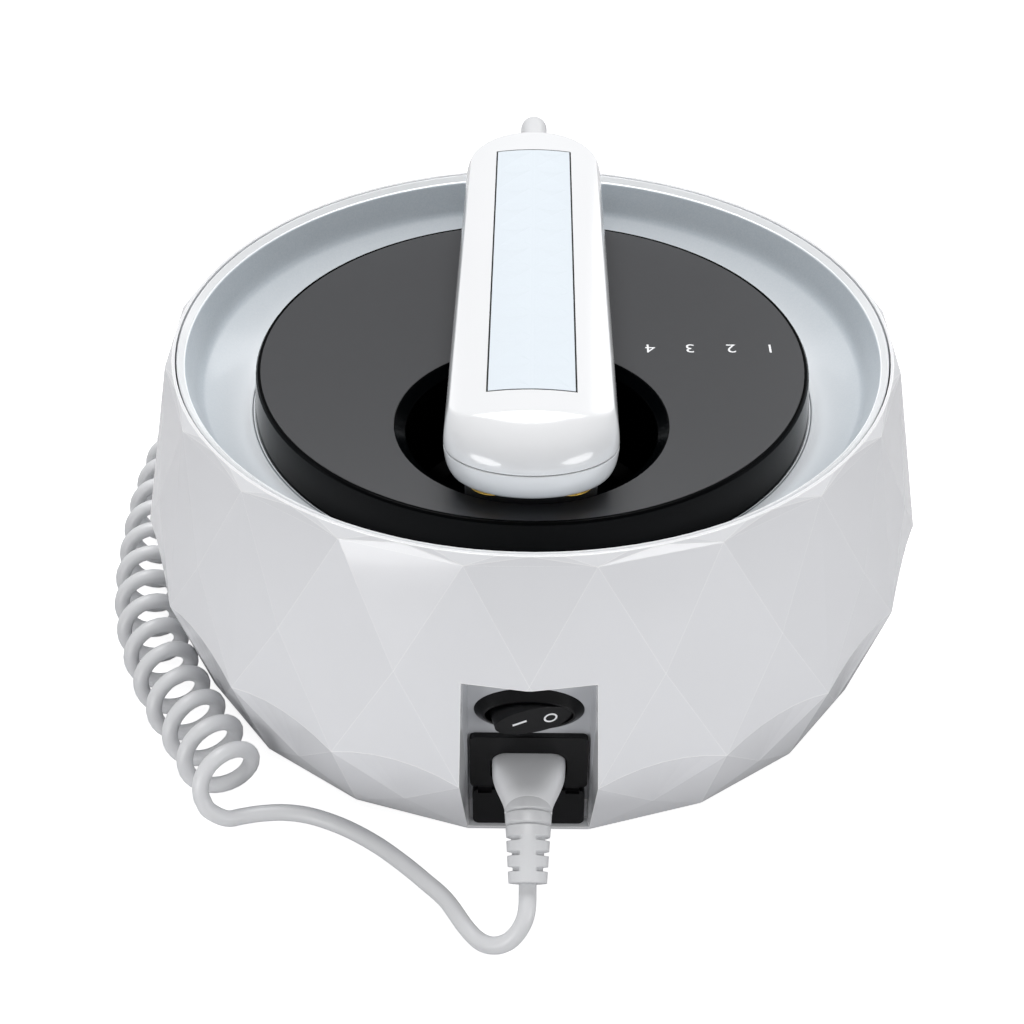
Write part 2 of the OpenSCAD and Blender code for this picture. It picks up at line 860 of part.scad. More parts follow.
// Grey rest in the well: a low frame clear of the electrodes, and a raised cheek at each side
module cradle_rest() {
    frame_top = carrier_z - dome_h - dome_gap;
    cheek_top = carrier_z - cheek_gap;
    inner_w = rest_w - 2 * rest_wall;
    color("gray")
        translate([0, rest_back - head_y, well_floor_z])
            difference() {
                intersection() {
                    union() {
                        translate([-rest_w / 2, -rest_l / 2, 0])
                            cube([rest_w, rest_l, frame_top - well_floor_z]);
                        for (side = [-1, 1])
                            translate([side * (rest_w - rest_wall) / 2, 0, (cheek_top - well_floor_z) / 2])
                                cube([rest_wall, rest_l, cheek_top - well_floor_z], center = true);
                    }
                    translate([0, head_y - rest_back - well_y, 0])
                        rotate_extrude($fn = 96)
                            polygon([
                                [0, 0],
                                [well_in_r - 3 - fit, 0],
                                [well_in_r - fit, 3],
                                [well_in_r - fit, carrier_z - well_floor_z],
                                [0, carrier_z - well_floor_z]
                            ]);
                }
                translate([-inner_w / 2, rest_wall - rest_l / 2, rest_foot_t])
                    cube([inner_w, rest_l - 2 * rest_wall, carrier_z]);
            }
}

// ---------- electronics ----------

module touch_board() {
    color("darkgreen")
        difference() {
            translate([0, 0, touch_board_z])
                linear_extrude(board_t)
                    difference() {
                        intersection() {
                            circle(r = touch_board_r, $fn = 96);
                            translate([-far / 2, -touch_board_cut])
                                square([far, far]);
                        }
                        translate([0, -well_y])
                            circle(r = well_in_r + well_wall + 1.5);
                        at_angles(boss_angles, boss_ring_r)
                            circle(r = boss_r + 0.6);
                    }
            at_lamp_posts()
                translate([0, 0, touch_board_z - 1])
                    cylinder(r = lamp_screw[0] + 0.25, h = board_t + 2, $fn = 24);
        }
}

// A figure display and four level lamps, standing on the touch board
module level_lamps() {
    top = deck_z - 0.3;
    base = touch_board_z + board_t;
    color("ivory") {
        for (i = [0 : 3])
            translate([touch_board_r * 0.47 + 10 * (i - 1.5), touch_board_cut + 3, base])
                cylinder(r = lamp_r, h = top - base, $fn = 24);
        translate([-touch_board_r / 2, touch_board_cut + 4, base])
            linear_extrude(top - base)
                rounded_rect(display[0], display[1], 0.6);
    }
}

module buzzer() {
    color("black")
        translate([0, touch_board_r - 30, touch_board_z - buzzer_h])
            difference() {
                cylinder(r = buzzer_r, h = buzzer_h);
                translate([0, 0, -1])
                    cylinder(r = buzzer_r / 5, h = 3, $fn = 24);
            }
}

module housing_screws() {
    color("silver") {
        at_angles(boss_angles, boss_ring_r)
            translate([0, 0, floor_z - bowl_t])
                screw(disc_screw);
        at_lamp_posts()
            translate([0, 0, touch_board_z])
                screw(lamp_screw);
    }
}

module board(side) {
    difference() {
        translate([-board_w / 2, side * (board_gap + board_l / 2) - board_l / 2, board_z])
            cube([board_w, board_l, board_t]);
        at_board_corners()
            translate([0, 0, board_z - 1])
                cylinder(r = board_screw[0] + 0.25, h = board_t + 2, $fn = 24);
    }
}

module power_board() {
    color("seagreen") {
        board(-1);
        for (i = [0, 1])
            translate([2.2 * cap_r * i + 13 - board_w / 2, -board_gap - 13, board_top - eps])
                cylinder(r = cap_r, h = cap_h, $fn = 32);
        translate([core_x + 4, 0.5 - board_gap - board_l, board_top - eps])
            cube(relay);
        translate([3 - board_w / 2, 13 - board_gap - board_l, board_top - eps])
            cube(sink);
    }
}

module transformer_core() {
    color("slategray")
        translate([core_x, core_y, board_top])
            difference() {
                translate([-core_w / 2, -core_d / 2, 0])
                    cube([core_w, core_d, core_h]);
                for (side = [-1, 1])
                    translate([side * (core_leg + core_window) / 2, 0, core_h / 2])
                        cube([core_window, 2 * core_d, core_h - 2 * core_yoke], center = true);
            }
}

module transformer_winding() {
    color("darkorange")
        translate([core_x, core_y, board_top + core_yoke + 0.2])
            difference() {
                linear_extrude(core_h - 2 * core_yoke - 0.4)
                    rounded_rect(winding_w, winding_d, 3);
                translate([0, 0, -1])
                    linear_extrude(core_h)
                        square([core_leg + 0.4, core_d + 0.4], center = true);
            }
}

module rf_board() {
    color("seagreen") {
        board(1);
        translate([7 - board_w / 2, board_gap + 9, board_top - eps])
            cube(rf_sink);
        for (i = [0 : 2])
            translate([board_w / 2 - 13, board_gap + 13 + 3 * rf_cap_r * i, board_top - eps])
                cylinder(r = rf_cap_r, h = rf_cap_h, $fn = 32);
    }
}

module rf_coil() {
    color("goldenrod")
        translate([2, board_gap + board_l / 2, board_top + coil_wire_r + 0.2])
            rotate_extrude()
                translate([coil_ring_r, 0])
                    circle(r = coil_wire_r, $fn = 32);
}

module board_screws() {
    color("silver")
        at_board_corners()
            translate([0, 0, board_z + board_t])
                rotate([180, 0, 0])
                    screw(board_screw);
}

// ---------- mains side ----------

module at_switch(y) {
    translate([0, y, switch_z])
        children();
}

// Bevelled oval bezel and the barrel behind the back plate
module switch_body() {
    color([0.08, 0.08, 0.09])
        difference() {
            union() {
                at_switch(back_y)
                    skin([
                        oval_ring(bezel_w, bezel_h, 0),
                        oval_ring(bezel_w - 2 * bezel_slope, bezel_h - 2 * bezel_slope, -bezel_t)
                    ]);
                at_switch(back_y + switch_depth)
                    rotate([90, 0, 0])
                        linear_extrude(switch_depth + eps)
                            oval(bezel_w - barrel_in, bezel_h - barrel_in);
            }
            at_switch(back_y + 9)
                rotate([90, 0, 0])
                    linear_extrude(bezel_t + 20)
                        oval(rocker_hole_w, rocker_hole_h);
            translate([0, rocker_pivot_y, switch_z - rocker_h / 2 - rocker_pin_l - pin_clear])
                cylinder(r = rocker_pin_r + pin_clear,
                         h = rocker_h + 2 * (rocker_pin_l + pin_clear), $fn = 32);
        }
}

// Rocker, resting with its right end pressed in; it turns about a vertical axis on two short pins
module switch_rocker() {
    tail = 5;
    color([0.06, 0.06, 0.065])
        translate([0, rocker_pivot_y, switch_z]) {
            translate([0, 0, -rocker_h / 2 - rocker_pin_l])
                cylinder(r = rocker_pin_r, h = rocker_h + 2 * rocker_pin_l, $fn = 32);
            rotate([0, 0, rock])
                intersection() {
                    rotate([90, 0, 0])
                        translate([0, 0, -tail])
                            linear_extrude(rocker_face + tail + 2)
                                oval(rocker_w, rocker_h);
                    translate([0, 0, -rocker_h])
                        linear_extrude(2 * rocker_h)
                            polygon([
                                [-rocker_w / 2 - 1, -rocker_face],
                                [rocker_w / 2 + 1, -rocker_face],
                                [rocker_w / 2 + 1, 0.5],
                                [2.5, tail],
                                [-2.5, tail],
                                [-rocker_w / 2 - 1, 0.5]
                            ]);
                }
        }
}

module switch_terminals() {
    color("gold")
        for (x = [-7, 0, 7])
            translate([x - 0.4, back_y + switch_depth, switch_z - 2.4])
                cube([0.8, 7, 4.8]);
}

module at_socket(y) {
    translate([0, y, socket_z])
        children();
}

module inlet_housing() {
    plate_h = inlet_top - drawer_split - 0.2;
    color([0.07, 0.07, 0.08])
        difference() {
            union() {
                translate([0, 0, inlet_top - plate_h / 2])
                    back_slab(back_y, inlet_plate_t)
                        rounded_rect(inlet_w, plate_h, 1.6);
                translate([-inlet_body_w / 2, back_y - eps, inlet_body_low])
                    cube([inlet_body_w, inlet_depth, inlet_body_top - inlet_body_low]);
            }
            at_socket(back_y + socket_depth - inlet_plate_t)
                back_slab(0, socket_depth + 1)
                    rounded_rect(socket_w, socket_h, 4);
            translate([-drawer_w / 2 - drawer_fit, back_y - 2, drawer_low - drawer_fit])
                cube([drawer_w + 2 * drawer_fit, drawer_l + 3,
                      drawer_top - drawer_low + 2 * drawer_fit]);
            for (x = [-1, 1])
                at_socket(back_y)
                    translate([x * pin_gap / 2, inlet_depth + 1, 0])
                        rotate([90, 0, 0])
                            cylinder(r = pin_r + 0.03, h = inlet_depth, $fn = 24);
        }
}

module inlet_pins() {
    color("gold")
        for (x = [-1, 1])
            at_socket(back_y)
                translate([x * pin_gap / 2, 0, 0]) {
                    translate([0, inlet_depth + 5, 0])
                        rotate([90, 0, 0])
                            cylinder(r = pin_r, h = inlet_depth + 5 - 2.5, $fn = 24);
                    translate([-0.4, inlet_depth + 1, -2])
                        cube([0.8, 8, 4]);
                }
}

module fuse_drawer() {
    front_h = drawer_split - 0.1 - inlet_low;
    color([0.07, 0.07, 0.08])
        difference() {
            union() {
                translate([0, 0, inlet_low + front_h / 2])
                    back_slab(back_y - 0.1, drawer_plate_t)
                        rounded_rect(inlet_w - 1.2, front_h, 1.6);
                translate([-drawer_w / 2, back_y - 0.1 - eps, drawer_low])
                    cube([drawer_w, drawer_l, drawer_top - drawer_low]);
            }
            translate([-fuse_l / 2 - 0.15, fuse_y - fuse_r - 0.15, fuse_z])
                cube([fuse_l + 0.3, 2 * fuse_r + 0.3, 10]);
            translate([-fuse_l / 2 - 0.15, fuse_y, fuse_z])
                rotate([0, 90, 0])
                    cylinder(r = fuse_r + 0.15, h = fuse_l + 0.3, $fn = 32);
            for (x = [-1, 1])
                translate([x * 11.2 - 1.8, back_y - drawer_plate_t - 1, drawer_split - 1.3])
                    cube([3.6, 2, 2]);
        }
}

// Glass fuse with a metal cap at each end, lying across the drawer
module fuse() {
    color("lightgray")
        translate([-fuse_l / 2, fuse_y, fuse_z])
            rotate([0, 90, 0]) {
                for (x = [0, fuse_l - 5])
                    translate([0, 0, x])
                        cylinder(r = fuse_r, h = 5, $fn = 32);
                translate([0, 0, 5])
                    cylinder(r = fuse_r - 0.2, h = fuse_l - 10, $fn = 32);
            }
}

// ---------- cord ----------

// Section of the plug: a rounded rectangle at the socket that turns into a circle at the relief
function signed_power(v, e) = sign(v) * pow(abs(v), e);
function plug_section(t, n) =
    let (
        f = max(0, t),
        w = lerp(plug_w, 2 * relief_r0 + 0.4, f * f * (3 - 2 * f)),
        h = lerp(plug_h, 2 * relief_r0 + 0.4, f),
        e = 2 / lerp(4.5, 2, f),
        centre = [0, plug_face_y - plug_body * t, socket_z - plug_drop * f * f]
    )
        [for (j = [0 : n - 1])
            let (a = -360 * (j + 0.5) / n)
                centre + [w / 2 * signed_power(cos(a), e), 0, h / 2 * signed_power(sin(a), e)]];

module plug() {
    color("lightgray")
        difference() {
            union() {
                skin([for (t = [-0.24, 0, 0.12, 0.24, 0.36, 0.48, 0.6, 0.72, 0.84, 0.92, 1])
                    plug_section(t, 40)]);
                at_socket(plug_face_y + 12)
                    back_slab(0, 9)
                        rounded_rect(plug_w - 3, plug_h - 1.6, 4.3);
            }
            for (x = [-1, 1])
                at_socket(plug_face_y + 13)
                    translate([x * pin_gap / 2, 0, 0])
                        rotate([90, 0, 0])
                            cylinder(r = pin_r + 0.1, h = 14, $fn = 24);
        }
}

// Tapered strain relief that bends down under its own weight: ribs with a groove before each
module plug_relief() {
    // share of a rib's pitch, and share of the groove's depth there
    profile = [[0, 1], [0.24, 1], [0.3, 0.2], [0.42, 0], [0.86, 0], [0.98, 0.25]];
    ribs = flatten([for (i = [0 : relief_ribs - 1])
        [for (q = profile) [(i + q[0]) / relief_ribs, q[1]]]]);
    stations = concat(ribs, [[1, 0.4]]);
    color("lightgray")
        tube([for (q = stations) relief_arc(droop * q[0])],
             [for (q = stations) lerp(relief_r0, relief_r1, q[0]) - relief_cut * q[1]],
             24, [0, -1, 0], droop_dir);
}

module lead_to_coil() {
    color("lightgray")
        tube(lead_a, cord_d / 2, 10, droop_dir, coil_start_dir);
}

coil_steps = len(coil_plan) - 1;
coil_start_dir = unit(flat(coil_plan[1] - coil_plan[0]));
coil_end_dir = unit(flat(coil_plan[coil_steps] - coil_plan[coil_steps - 1]));

module curly_cord() {
    color("gainsboro")
        tube(coil_line, coil_r, 12, coil_start_dir, coil_end_dir);
}

module lead_to_handset() {
    color("lightgray")
        tube(lead_b, cord_d / 2, 10, coil_end_dir, -gland_dir);
}

// ---------- handset ----------

// Outline of the bar, drawn in by the given amounts at the sides, the nose and the tail.
// It runs from the tip of the nose along the right side to the tip of the tail, and back.
function bar_outline(side, nose, tail) =
    let (
        n = 9,
        nose_b = nose_depth - side,
        tail_b = tail_depth - side,
        nose_mid = -nose_y + nose + nose_b,
        tail_mid = tail_y - tail - tail_b,
        right = concat(
            [for (i = [0 : n])
                [(nose_w / 2 - side) * sin(90 * i / n), nose_mid - nose_b * cos(90 * i / n)]],
            [for (i = [0 : 4])
                let (y = lerp(head_end, handle_start, i / 4) - head_y)
                    [lerp(nose_w, tail_w, (y - nose_mid) / (tail_mid - nose_mid)) / 2 - side, y]],
            [for (i = [0 : n])
                [(tail_w / 2 - side) * cos(90 * i / n), tail_mid + tail_b * sin(90 * i / n)]]
        ),
        left = [for (i = [len(right) - 2 : -1 : 1]) [-right[i][0], right[i][1]]]
    )
        concat(right, left);

function at_height(outline, z) = [for (p = outline) [p[0], p[1], z]];

// Stack of outlines that rounds over from the seam up to the top
function top_rings(rise, steps) = [
    for (i = [steps : -1 : 0])
        let (a = 90 * i / steps, s = 1 - cos(a))
            at_height(bar_outline(side_inset * s, nose_inset * s, tail_inset * s),
                      hand_seam_z + rise * sin(a))
];

// Depth of the lower cover below the seam: deep at the head, shallow along the handle
function low_depth(y) =
    let (t = min(1, max(0, (y + head_y - head_end) / (handle_start - head_end))))
        lerp(head_low_h, hand_low_h, t * t * (3 - 2 * t));

// Stack of outlines that rounds under from the seam down to the underside
function low_rings(steps) = [
    for (i = [0 : steps])
        let (a = 90 * i / steps, s = 1 - cos(a))
            [for (p = bar_outline(low_side_inset * s, low_nose_inset * s, low_tail_inset * s))
                [p[0], p[1], hand_seam_z - low_depth(p[1]) * sin(a)]]
];

module bar_prism(side, nose, tail, z_low, z_high) {
    translate([0, 0, z_low])
        linear_extrude(z_high - z_low)
            polygon(bar_outline(side, nose, tail));
}

module crown(offset_r, z_shift) {
    translate([0, -far / 2 - 40, hand_top_z - crown_r + z_shift])
        rotate([-90, 0, 0])
            cylinder(r = crown_r + offset_r, h = 2 * far, $fn = 180);
}

module inlay_prism(grow, z_low, z_high) {
    translate([0, inlay_mid_y, z_low])
        linear_extrude(z_high - z_low)
            square([inlay_w + 2 * grow, inlay_l + 2 * grow], center = true);
}

module gland_bore(r) {
    translate([0, tail_y - gland_in - 1, gland_z])
        rotate([-90, 0, 0])
            cylinder(r = r, h = gland_in + 8, $fn = 40);
}

module handset_top_cover() {
    inside_top = hand_top_z - 4.4;
    color("white")
        difference() {
            intersection() {
                skin(top_rings(hand_top_h + 0.8, 7));
                crown(0, 0);
            }
            bar_prism(3.4, 9.5, 7.5, hand_seam_z - 1, inside_top);
            difference() {
                inlay_prism(groove, inside_top + 0.6, hand_top_z + 1);
                crown(-inlay_t, 0);
            }
            gland_bore(gland_r + 0.1);
        }
    color("white")
        for (y = hand_screw_y)
            translate([0, y, hand_seam_z + 0.1])
                difference() {
                    cylinder(r = hand_post_r - 0.2, h = inside_top - hand_seam_z, $fn = 24);
                    translate([0, 0, -1])
                        cylinder(r = hand_screw[0] + 0.05, h = 6, $fn = 24);
                }
}

module handset_lower_cover() {
    color("ghostwhite")
        difference() {
            union() {
                difference() {
                    skin(low_rings(6), mirrored = true);
                    bar_prism(3, 3.5, 4, hand_low_z + 1.7, hand_seam_z + 1);
                    head_cavity();
                }
                for (y = hand_screw_y)
                    translate([0, y, hand_low_z + 1])
                        cylinder(r = hand_post_r, h = hand_low_h - 1, $fn = 24);
            }
            for (y = hand_screw_y)
                translate([0, y, hand_low_z - 1]) {
                    cylinder(r = hand_screw[0] + 0.25, h = 8, $fn = 24);
                    cylinder(r = hand_screw[2] + 0.3, h = 2.2, $fn = 24);
                }
            translate([0, -head_y, carrier_z - 1])
                linear_extrude(carrier_t + 1)
                    carrier_outline(fit);
            gland_bore(gland_r + 0.1);
        }
}

module carrier_outline(grow) {
    rounded_rect(carrier_w + 2 * grow, carrier_l + 2 * grow, carrier_corner + grow);
}

module head_cavity() {
    translate([0, -head_y, carrier_z + carrier_t + 1.2])
        linear_extrude(head_low_h)
            carrier_outline(-1.5);
}

// Decorated inlay, level with the crown of the top cover
module handset_inlay() {
    color("aliceblue")
        intersection() {
            inlay_prism(0, hand_top_z - 6, hand_top_z + 1);
            difference() {
                crown(0, 0);
                crown(-inlay_t + 0.05, 0);
            }
        }
}

module electrode_carrier() {
    color("whitesmoke")
        translate([0, -head_y, carrier_z])
            linear_extrude(carrier_t)
                carrier_outline(0);
}

module electrodes() {
    dome_r = (electrode_r * electrode_r + dome_h * dome_h) / (2 * dome_h);
    color("gold")
        for (x = [-1, 1])
            for (y = [-1, 1])
                translate([x * electrode_pitch / 2, y * electrode_pitch / 2 - head_y, carrier_z])
                    intersection() {
                        translate([0, 0, dome_r - dome_h])
                            sphere(r = dome_r, $fn = 64);
                        translate([0, 0, -dome_h - 1])
                            cylinder(r = electrode_r + 1, h = dome_h + 1, $fn = 48);
                    }
}

module handset_board() {
    color("darkgreen")
        difference() {
            translate([-hand_board_w / 2, 12 - nose_y, hand_seam_z - hand_board_t - 0.2])
                cube([hand_board_w, nose_y + tail_y - 28, hand_board_t]);
            for (y = hand_screw_y)
                translate([0, y, hand_seam_z - 3])
                    cylinder(r = hand_post_r + 0.2, h = 4, $fn = 24);
        }
}

module handset_screws() {
    color("silver")
        for (y = hand_screw_y)
            translate([0, y, hand_low_z + 1.15])
                screw(hand_screw);
}

// Curved strain relief at the tail, held between the covers by a collar inside
module handset_gland() {
    boot_r = gland_r - 0.15;
    start = [0, tail_y + gland_straight - 3, gland_z];
    bend = [for (i = [0 : 8]) gland_arc(gland_bend * i / 8)];
    taper = [for (i = [0 : 8]) boot_r - (i < 5 ? 0 : 0.15 * (i - 4))];
    tip = [for (f = [0.5, 0.94, 1]) gland_arc(gland_bend) + f * gland_tip * gland_dir];
    tip_r = [lerp(gland_tip_r, taper[8], 0.5), gland_tip_r + 0.2, gland_tip_r];
    color("gainsboro") {
        translate([0, tail_y - gland_in, gland_z])
            rotate([-90, 0, 0])
                cylinder(r = gland_r, h = gland_in + gland_straight - 1, $fn = 40);
        tube(concat([start], bend, tip), concat([boot_r], taper, tip_r), 32, [0, 1, 0], gland_dir);
    }
}

outer_shell();
rear_panel();
bottom_plate();
feet();
bottom_screws();
inner_bowl();
disc_housing();
touch_panel();
well_cup();
cradle_rest();
touch_board();
level_lamps();
buzzer();
housing_screws();
power_board();
transformer_core();
transformer_winding();
rf_board();
rf_coil();
board_screws();
switch_body();
switch_rocker();
switch_terminals();
inlet_housing();
inlet_pins();
fuse_drawer();
fuse();
plug();
plug_relief();
lead_to_coil();
curly_cord();
lead_to_handset();
handset_top_cover();
handset_lower_cover();
handset_inlay();
electrode_carrier();
electrodes();
handset_board();
handset_screws();
handset_gland();
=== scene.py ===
"""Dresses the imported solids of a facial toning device: a faceted gloss base with a bowl,
a black touch disc with a well, a bar handset, and the cord with its curly stretch."""
import math

import bmesh
import bpy
from mathutils import Matrix, Vector


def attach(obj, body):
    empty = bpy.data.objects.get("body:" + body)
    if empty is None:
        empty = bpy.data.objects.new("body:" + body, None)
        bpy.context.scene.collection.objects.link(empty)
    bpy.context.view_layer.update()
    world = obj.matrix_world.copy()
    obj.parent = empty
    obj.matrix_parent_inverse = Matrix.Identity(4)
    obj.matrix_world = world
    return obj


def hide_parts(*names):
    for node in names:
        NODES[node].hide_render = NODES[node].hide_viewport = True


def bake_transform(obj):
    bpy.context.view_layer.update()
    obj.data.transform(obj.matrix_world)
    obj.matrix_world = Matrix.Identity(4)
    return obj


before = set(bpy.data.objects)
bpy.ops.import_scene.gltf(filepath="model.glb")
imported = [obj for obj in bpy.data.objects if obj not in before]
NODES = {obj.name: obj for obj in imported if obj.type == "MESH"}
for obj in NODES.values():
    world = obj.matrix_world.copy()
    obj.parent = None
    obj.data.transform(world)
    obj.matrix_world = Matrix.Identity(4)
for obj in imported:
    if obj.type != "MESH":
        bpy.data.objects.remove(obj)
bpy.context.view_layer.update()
MM = 0.001


# ---------------------------------------------------------------- camera

CAMERA_AT = (0, -0.414918, 0.349022)
CAMERA_DOWN, CAMERA_LEFT = 0.6559, 0.0134
FOCAL_MM, SENSOR_MM = 62.243, 36


def place_camera():
    """Looks down at the mains side, as a person seated at the table does."""
    lens = bpy.data.cameras.new("product_camera")
    lens.sensor_width = SENSOR_MM
    lens.lens = FOCAL_MM
    lens.clip_start, lens.clip_end = 0.01, 20
    camera = bpy.data.objects.new("product_camera", lens)
    camera.location = CAMERA_AT
    camera.rotation_euler = (math.pi / 2 - CAMERA_DOWN, 0, CAMERA_LEFT)
    bpy.context.collection.objects.link(camera)
    bpy.context.scene.camera = camera
    bpy.context.scene.view_settings.view_transform = "Standard"


place_camera()


# ---------------------------------------------------------------- small tools

def linear(code):
    """Linear colour of an sRGB hex value."""
    parts = [int(code[i:i + 2], 16) / 255 for i in (1, 3, 5)]
    return tuple(c / 12.92 if c <= 0.04045 else ((c + 0.055) / 1.055) ** 2.4 for c in parts) + (1.0,)


def smooth(t):
    """Eased share of the way, 0 before and 1 after."""
    t = min(1, max(0, t))
    return t * t * (3 - 2 * t)


def put(tree, kind, settings=None, **sockets):
    """Adds a node. Settings are its own properties; sockets take a value or another node's output."""
    node = tree.nodes.new(kind)
    for name, value in (settings or {}).items():
        setattr(node, name, value)
    for name, value in sockets.items():
        key = int(name[1:]) if name[0] == "_" else name.replace("_", " ")
        socket = node.inputs[key]
        if isinstance(value, bpy.types.NodeSocket):
            tree.links.new(value, socket)
        else:
            socket.default_value = value
    return node


def new_material(name):
    """Empty material and its node tree."""
    material = bpy.data.materials.new(name)
    material.use_nodes = True
    material.node_tree.nodes.clear()
    return material, material.node_tree


def close_surface(tree, shader):
    """Leads a shader to the material's output."""
    out = tree.nodes.new("ShaderNodeOutputMaterial")
    tree.links.new(shader.outputs[0], out.inputs["Surface"])


def mesh_piece(name, verts, faces, smooth=True):
    """Object at the origin from points in millimetres."""
    mesh = bpy.data.meshes.new(name)
    mesh.from_pydata([Vector(v) * MM for v in verts], [], faces)
    mesh.validate()
    mesh.polygons.foreach_set("use_smooth", [smooth] * len(mesh.polygons))
    piece = bpy.data.objects.new(name, mesh)
    bpy.context.collection.objects.link(piece)
    return piece


def loft(rings, close_end=True):
    """Points and faces of a skin over rings of equal length, closed at the start."""
    m = len(rings[0])
    verts = [p for ring in rings for p in ring]
    faces = []
    for i in range(len(rings) - 1):
        for j in range(m):
            a, b = i * m + j, i * m + (j + 1) % m
            faces.append((a, b, b + m, a + m))
    faces.append(tuple(reversed(range(m))))
    if close_end:
        faces.append(tuple(range((len(rings) - 1) * m, len(rings) * m)))
    return verts, faces


def hoop(rings):
    """Points and faces of a skin over closed rings, where the last ring joins the first again."""
    n, m = len(rings), len(rings[0])
    faces = [(i * m + j, (i + 1) % n * m + j, (i + 1) % n * m + (j + 1) % m, i * m + (j + 1) % m)
             for i in range(n) for j in range(m)]
    return [p for ring in rings for p in ring], faces


def face_outwards(piece):
    """Joins points that fall together and turns every face outwards."""
    work = bmesh.new()
    work.from_mesh(piece.data)
    bmesh.ops.remove_doubles(work, verts=work.verts, dist=1e-6)
    bmesh.ops.recalc_face_normals(work, faces=work.faces)
    work.to_mesh(piece.data)
    work.free()


def dress(piece, material):
    """Gives a piece its one finish."""
    piece.data.materials.clear()
    piece.data.materials.append(material)


def settle(piece, body, material, slot, *replaced):
    """Gives a made piece its finish and its body, and hides the solids it replaces."""
    dress(piece, material)
    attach(piece, body)
    if replaced:
        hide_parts(*replaced)
    return piece


# ---------------------------------------------------------------- materials

PLASTIC_IOR, PLASTIC_TONE, CLOUD_MM = 1.5, 0.03, 40


def moulded_plastic(name, colour, roughness, specks_mm, bump, coat=0.0, coat_rough=0.05, edge=0.0,
                    specular=0.5, painted_edge_highlight=False):
    """Injection-moulded plastic: even colour, a faint waviness, and softly broken edges. Sharp
    edges can get a painted highlight: their colour mixes to white, which draws them as fine bright lines."""
    material, tree = new_material(name)
    place = put(tree, "ShaderNodeTexCoord")
    wave = put(tree, "ShaderNodeTexNoise", Vector=place.outputs["Object"],
               Scale=1000 / specks_mm, Detail=3.0, Roughness=0.55)
    cloud = put(tree, "ShaderNodeTexNoise", Vector=place.outputs["Object"], Scale=1000 / CLOUD_MM, Detail=2.0)
    base = linear(colour)
    darker = tuple(c * (1 - PLASTIC_TONE) for c in base[:3]) + (1,)
    mix = put(tree, "ShaderNodeMix", {"data_type": "RGBA"}, _0=cloud.outputs["Fac"], _6=darker, _7=base)
    rough = put(tree, "ShaderNodeMapRange", Value=wave.outputs["Fac"],
                To_Min=max(0.02, roughness - 0.03), To_Max=roughness + 0.03)
    height = put(tree, "ShaderNodeBump", Strength=bump, Distance=0.02 * MM * specks_mm,
                 Height=wave.outputs["Fac"])
    if edge:
        soft = put(tree, "ShaderNodeBevel", {"samples": 6}, Radius=edge * MM)
        tree.links.new(soft.outputs["Normal"], height.inputs["Normal"])
    if painted_edge_highlight:
        true = put(tree, "ShaderNodeNewGeometry")
        same = put(tree, "ShaderNodeVectorMath", {"operation": "DOT_PRODUCT"}, _0=soft.outputs["Normal"],
                   _1=true.outputs["True Normal"])
        # painted highlight: where the softened normal leaves the true one, the colour turns white
        edge_highlight_mask = put(tree, "ShaderNodeMapRange", Value=same.outputs["Value"], From_Min=0.999, From_Max=0.995)
        mix = put(tree, "ShaderNodeMix", {"data_type": "RGBA"}, _0=edge_highlight_mask.outputs[0], _6=mix.outputs[2],
                  _7=(1, 1, 1, 1))
    shader = put(tree, "ShaderNodeBsdfPrincipled", Base_Color=mix.outputs[2], Roughness=rough.outputs[0],
                 IOR=PLASTIC_IOR, Coat_Weight=coat, Coat_Roughness=coat_rough, Normal=height.outputs[0])
    shader.inputs["Specular IOR Level"].default_value = specular
    if coat:
        tree.links.new(height.outputs[0], shader.inputs["Coat Normal"])
    close_surface(tree, shader)
    return material


def metal(name, colour, roughness):
    """Plain metal with a fine drawn or plated grain."""
    material, tree = new_material(name)
    place = put(tree, "ShaderNodeTexCoord")
    # real grain is under 0.1 mm; it is drawn at 0.4 mm so that it shows
    grain = put(tree, "ShaderNodeTexNoise", Vector=place.outputs["Object"], Scale=1000 / 0.4, Detail=4.0)
    rough = put(tree, "ShaderNodeMapRange", Value=grain.outputs["Fac"],
                To_Min=roughness * 0.8, To_Max=roughness * 1.25)
    height = put(tree, "ShaderNodeBump", Strength=0.2, Distance=0.01 * MM, Height=grain.outputs["Fac"])
    shader = put(tree, "ShaderNodeBsdfPrincipled", Base_Color=linear(colour), Metallic=1.0,
                 Roughness=rough.outputs[0], Normal=height.outputs[0])
    close_surface(tree, shader)
    return material


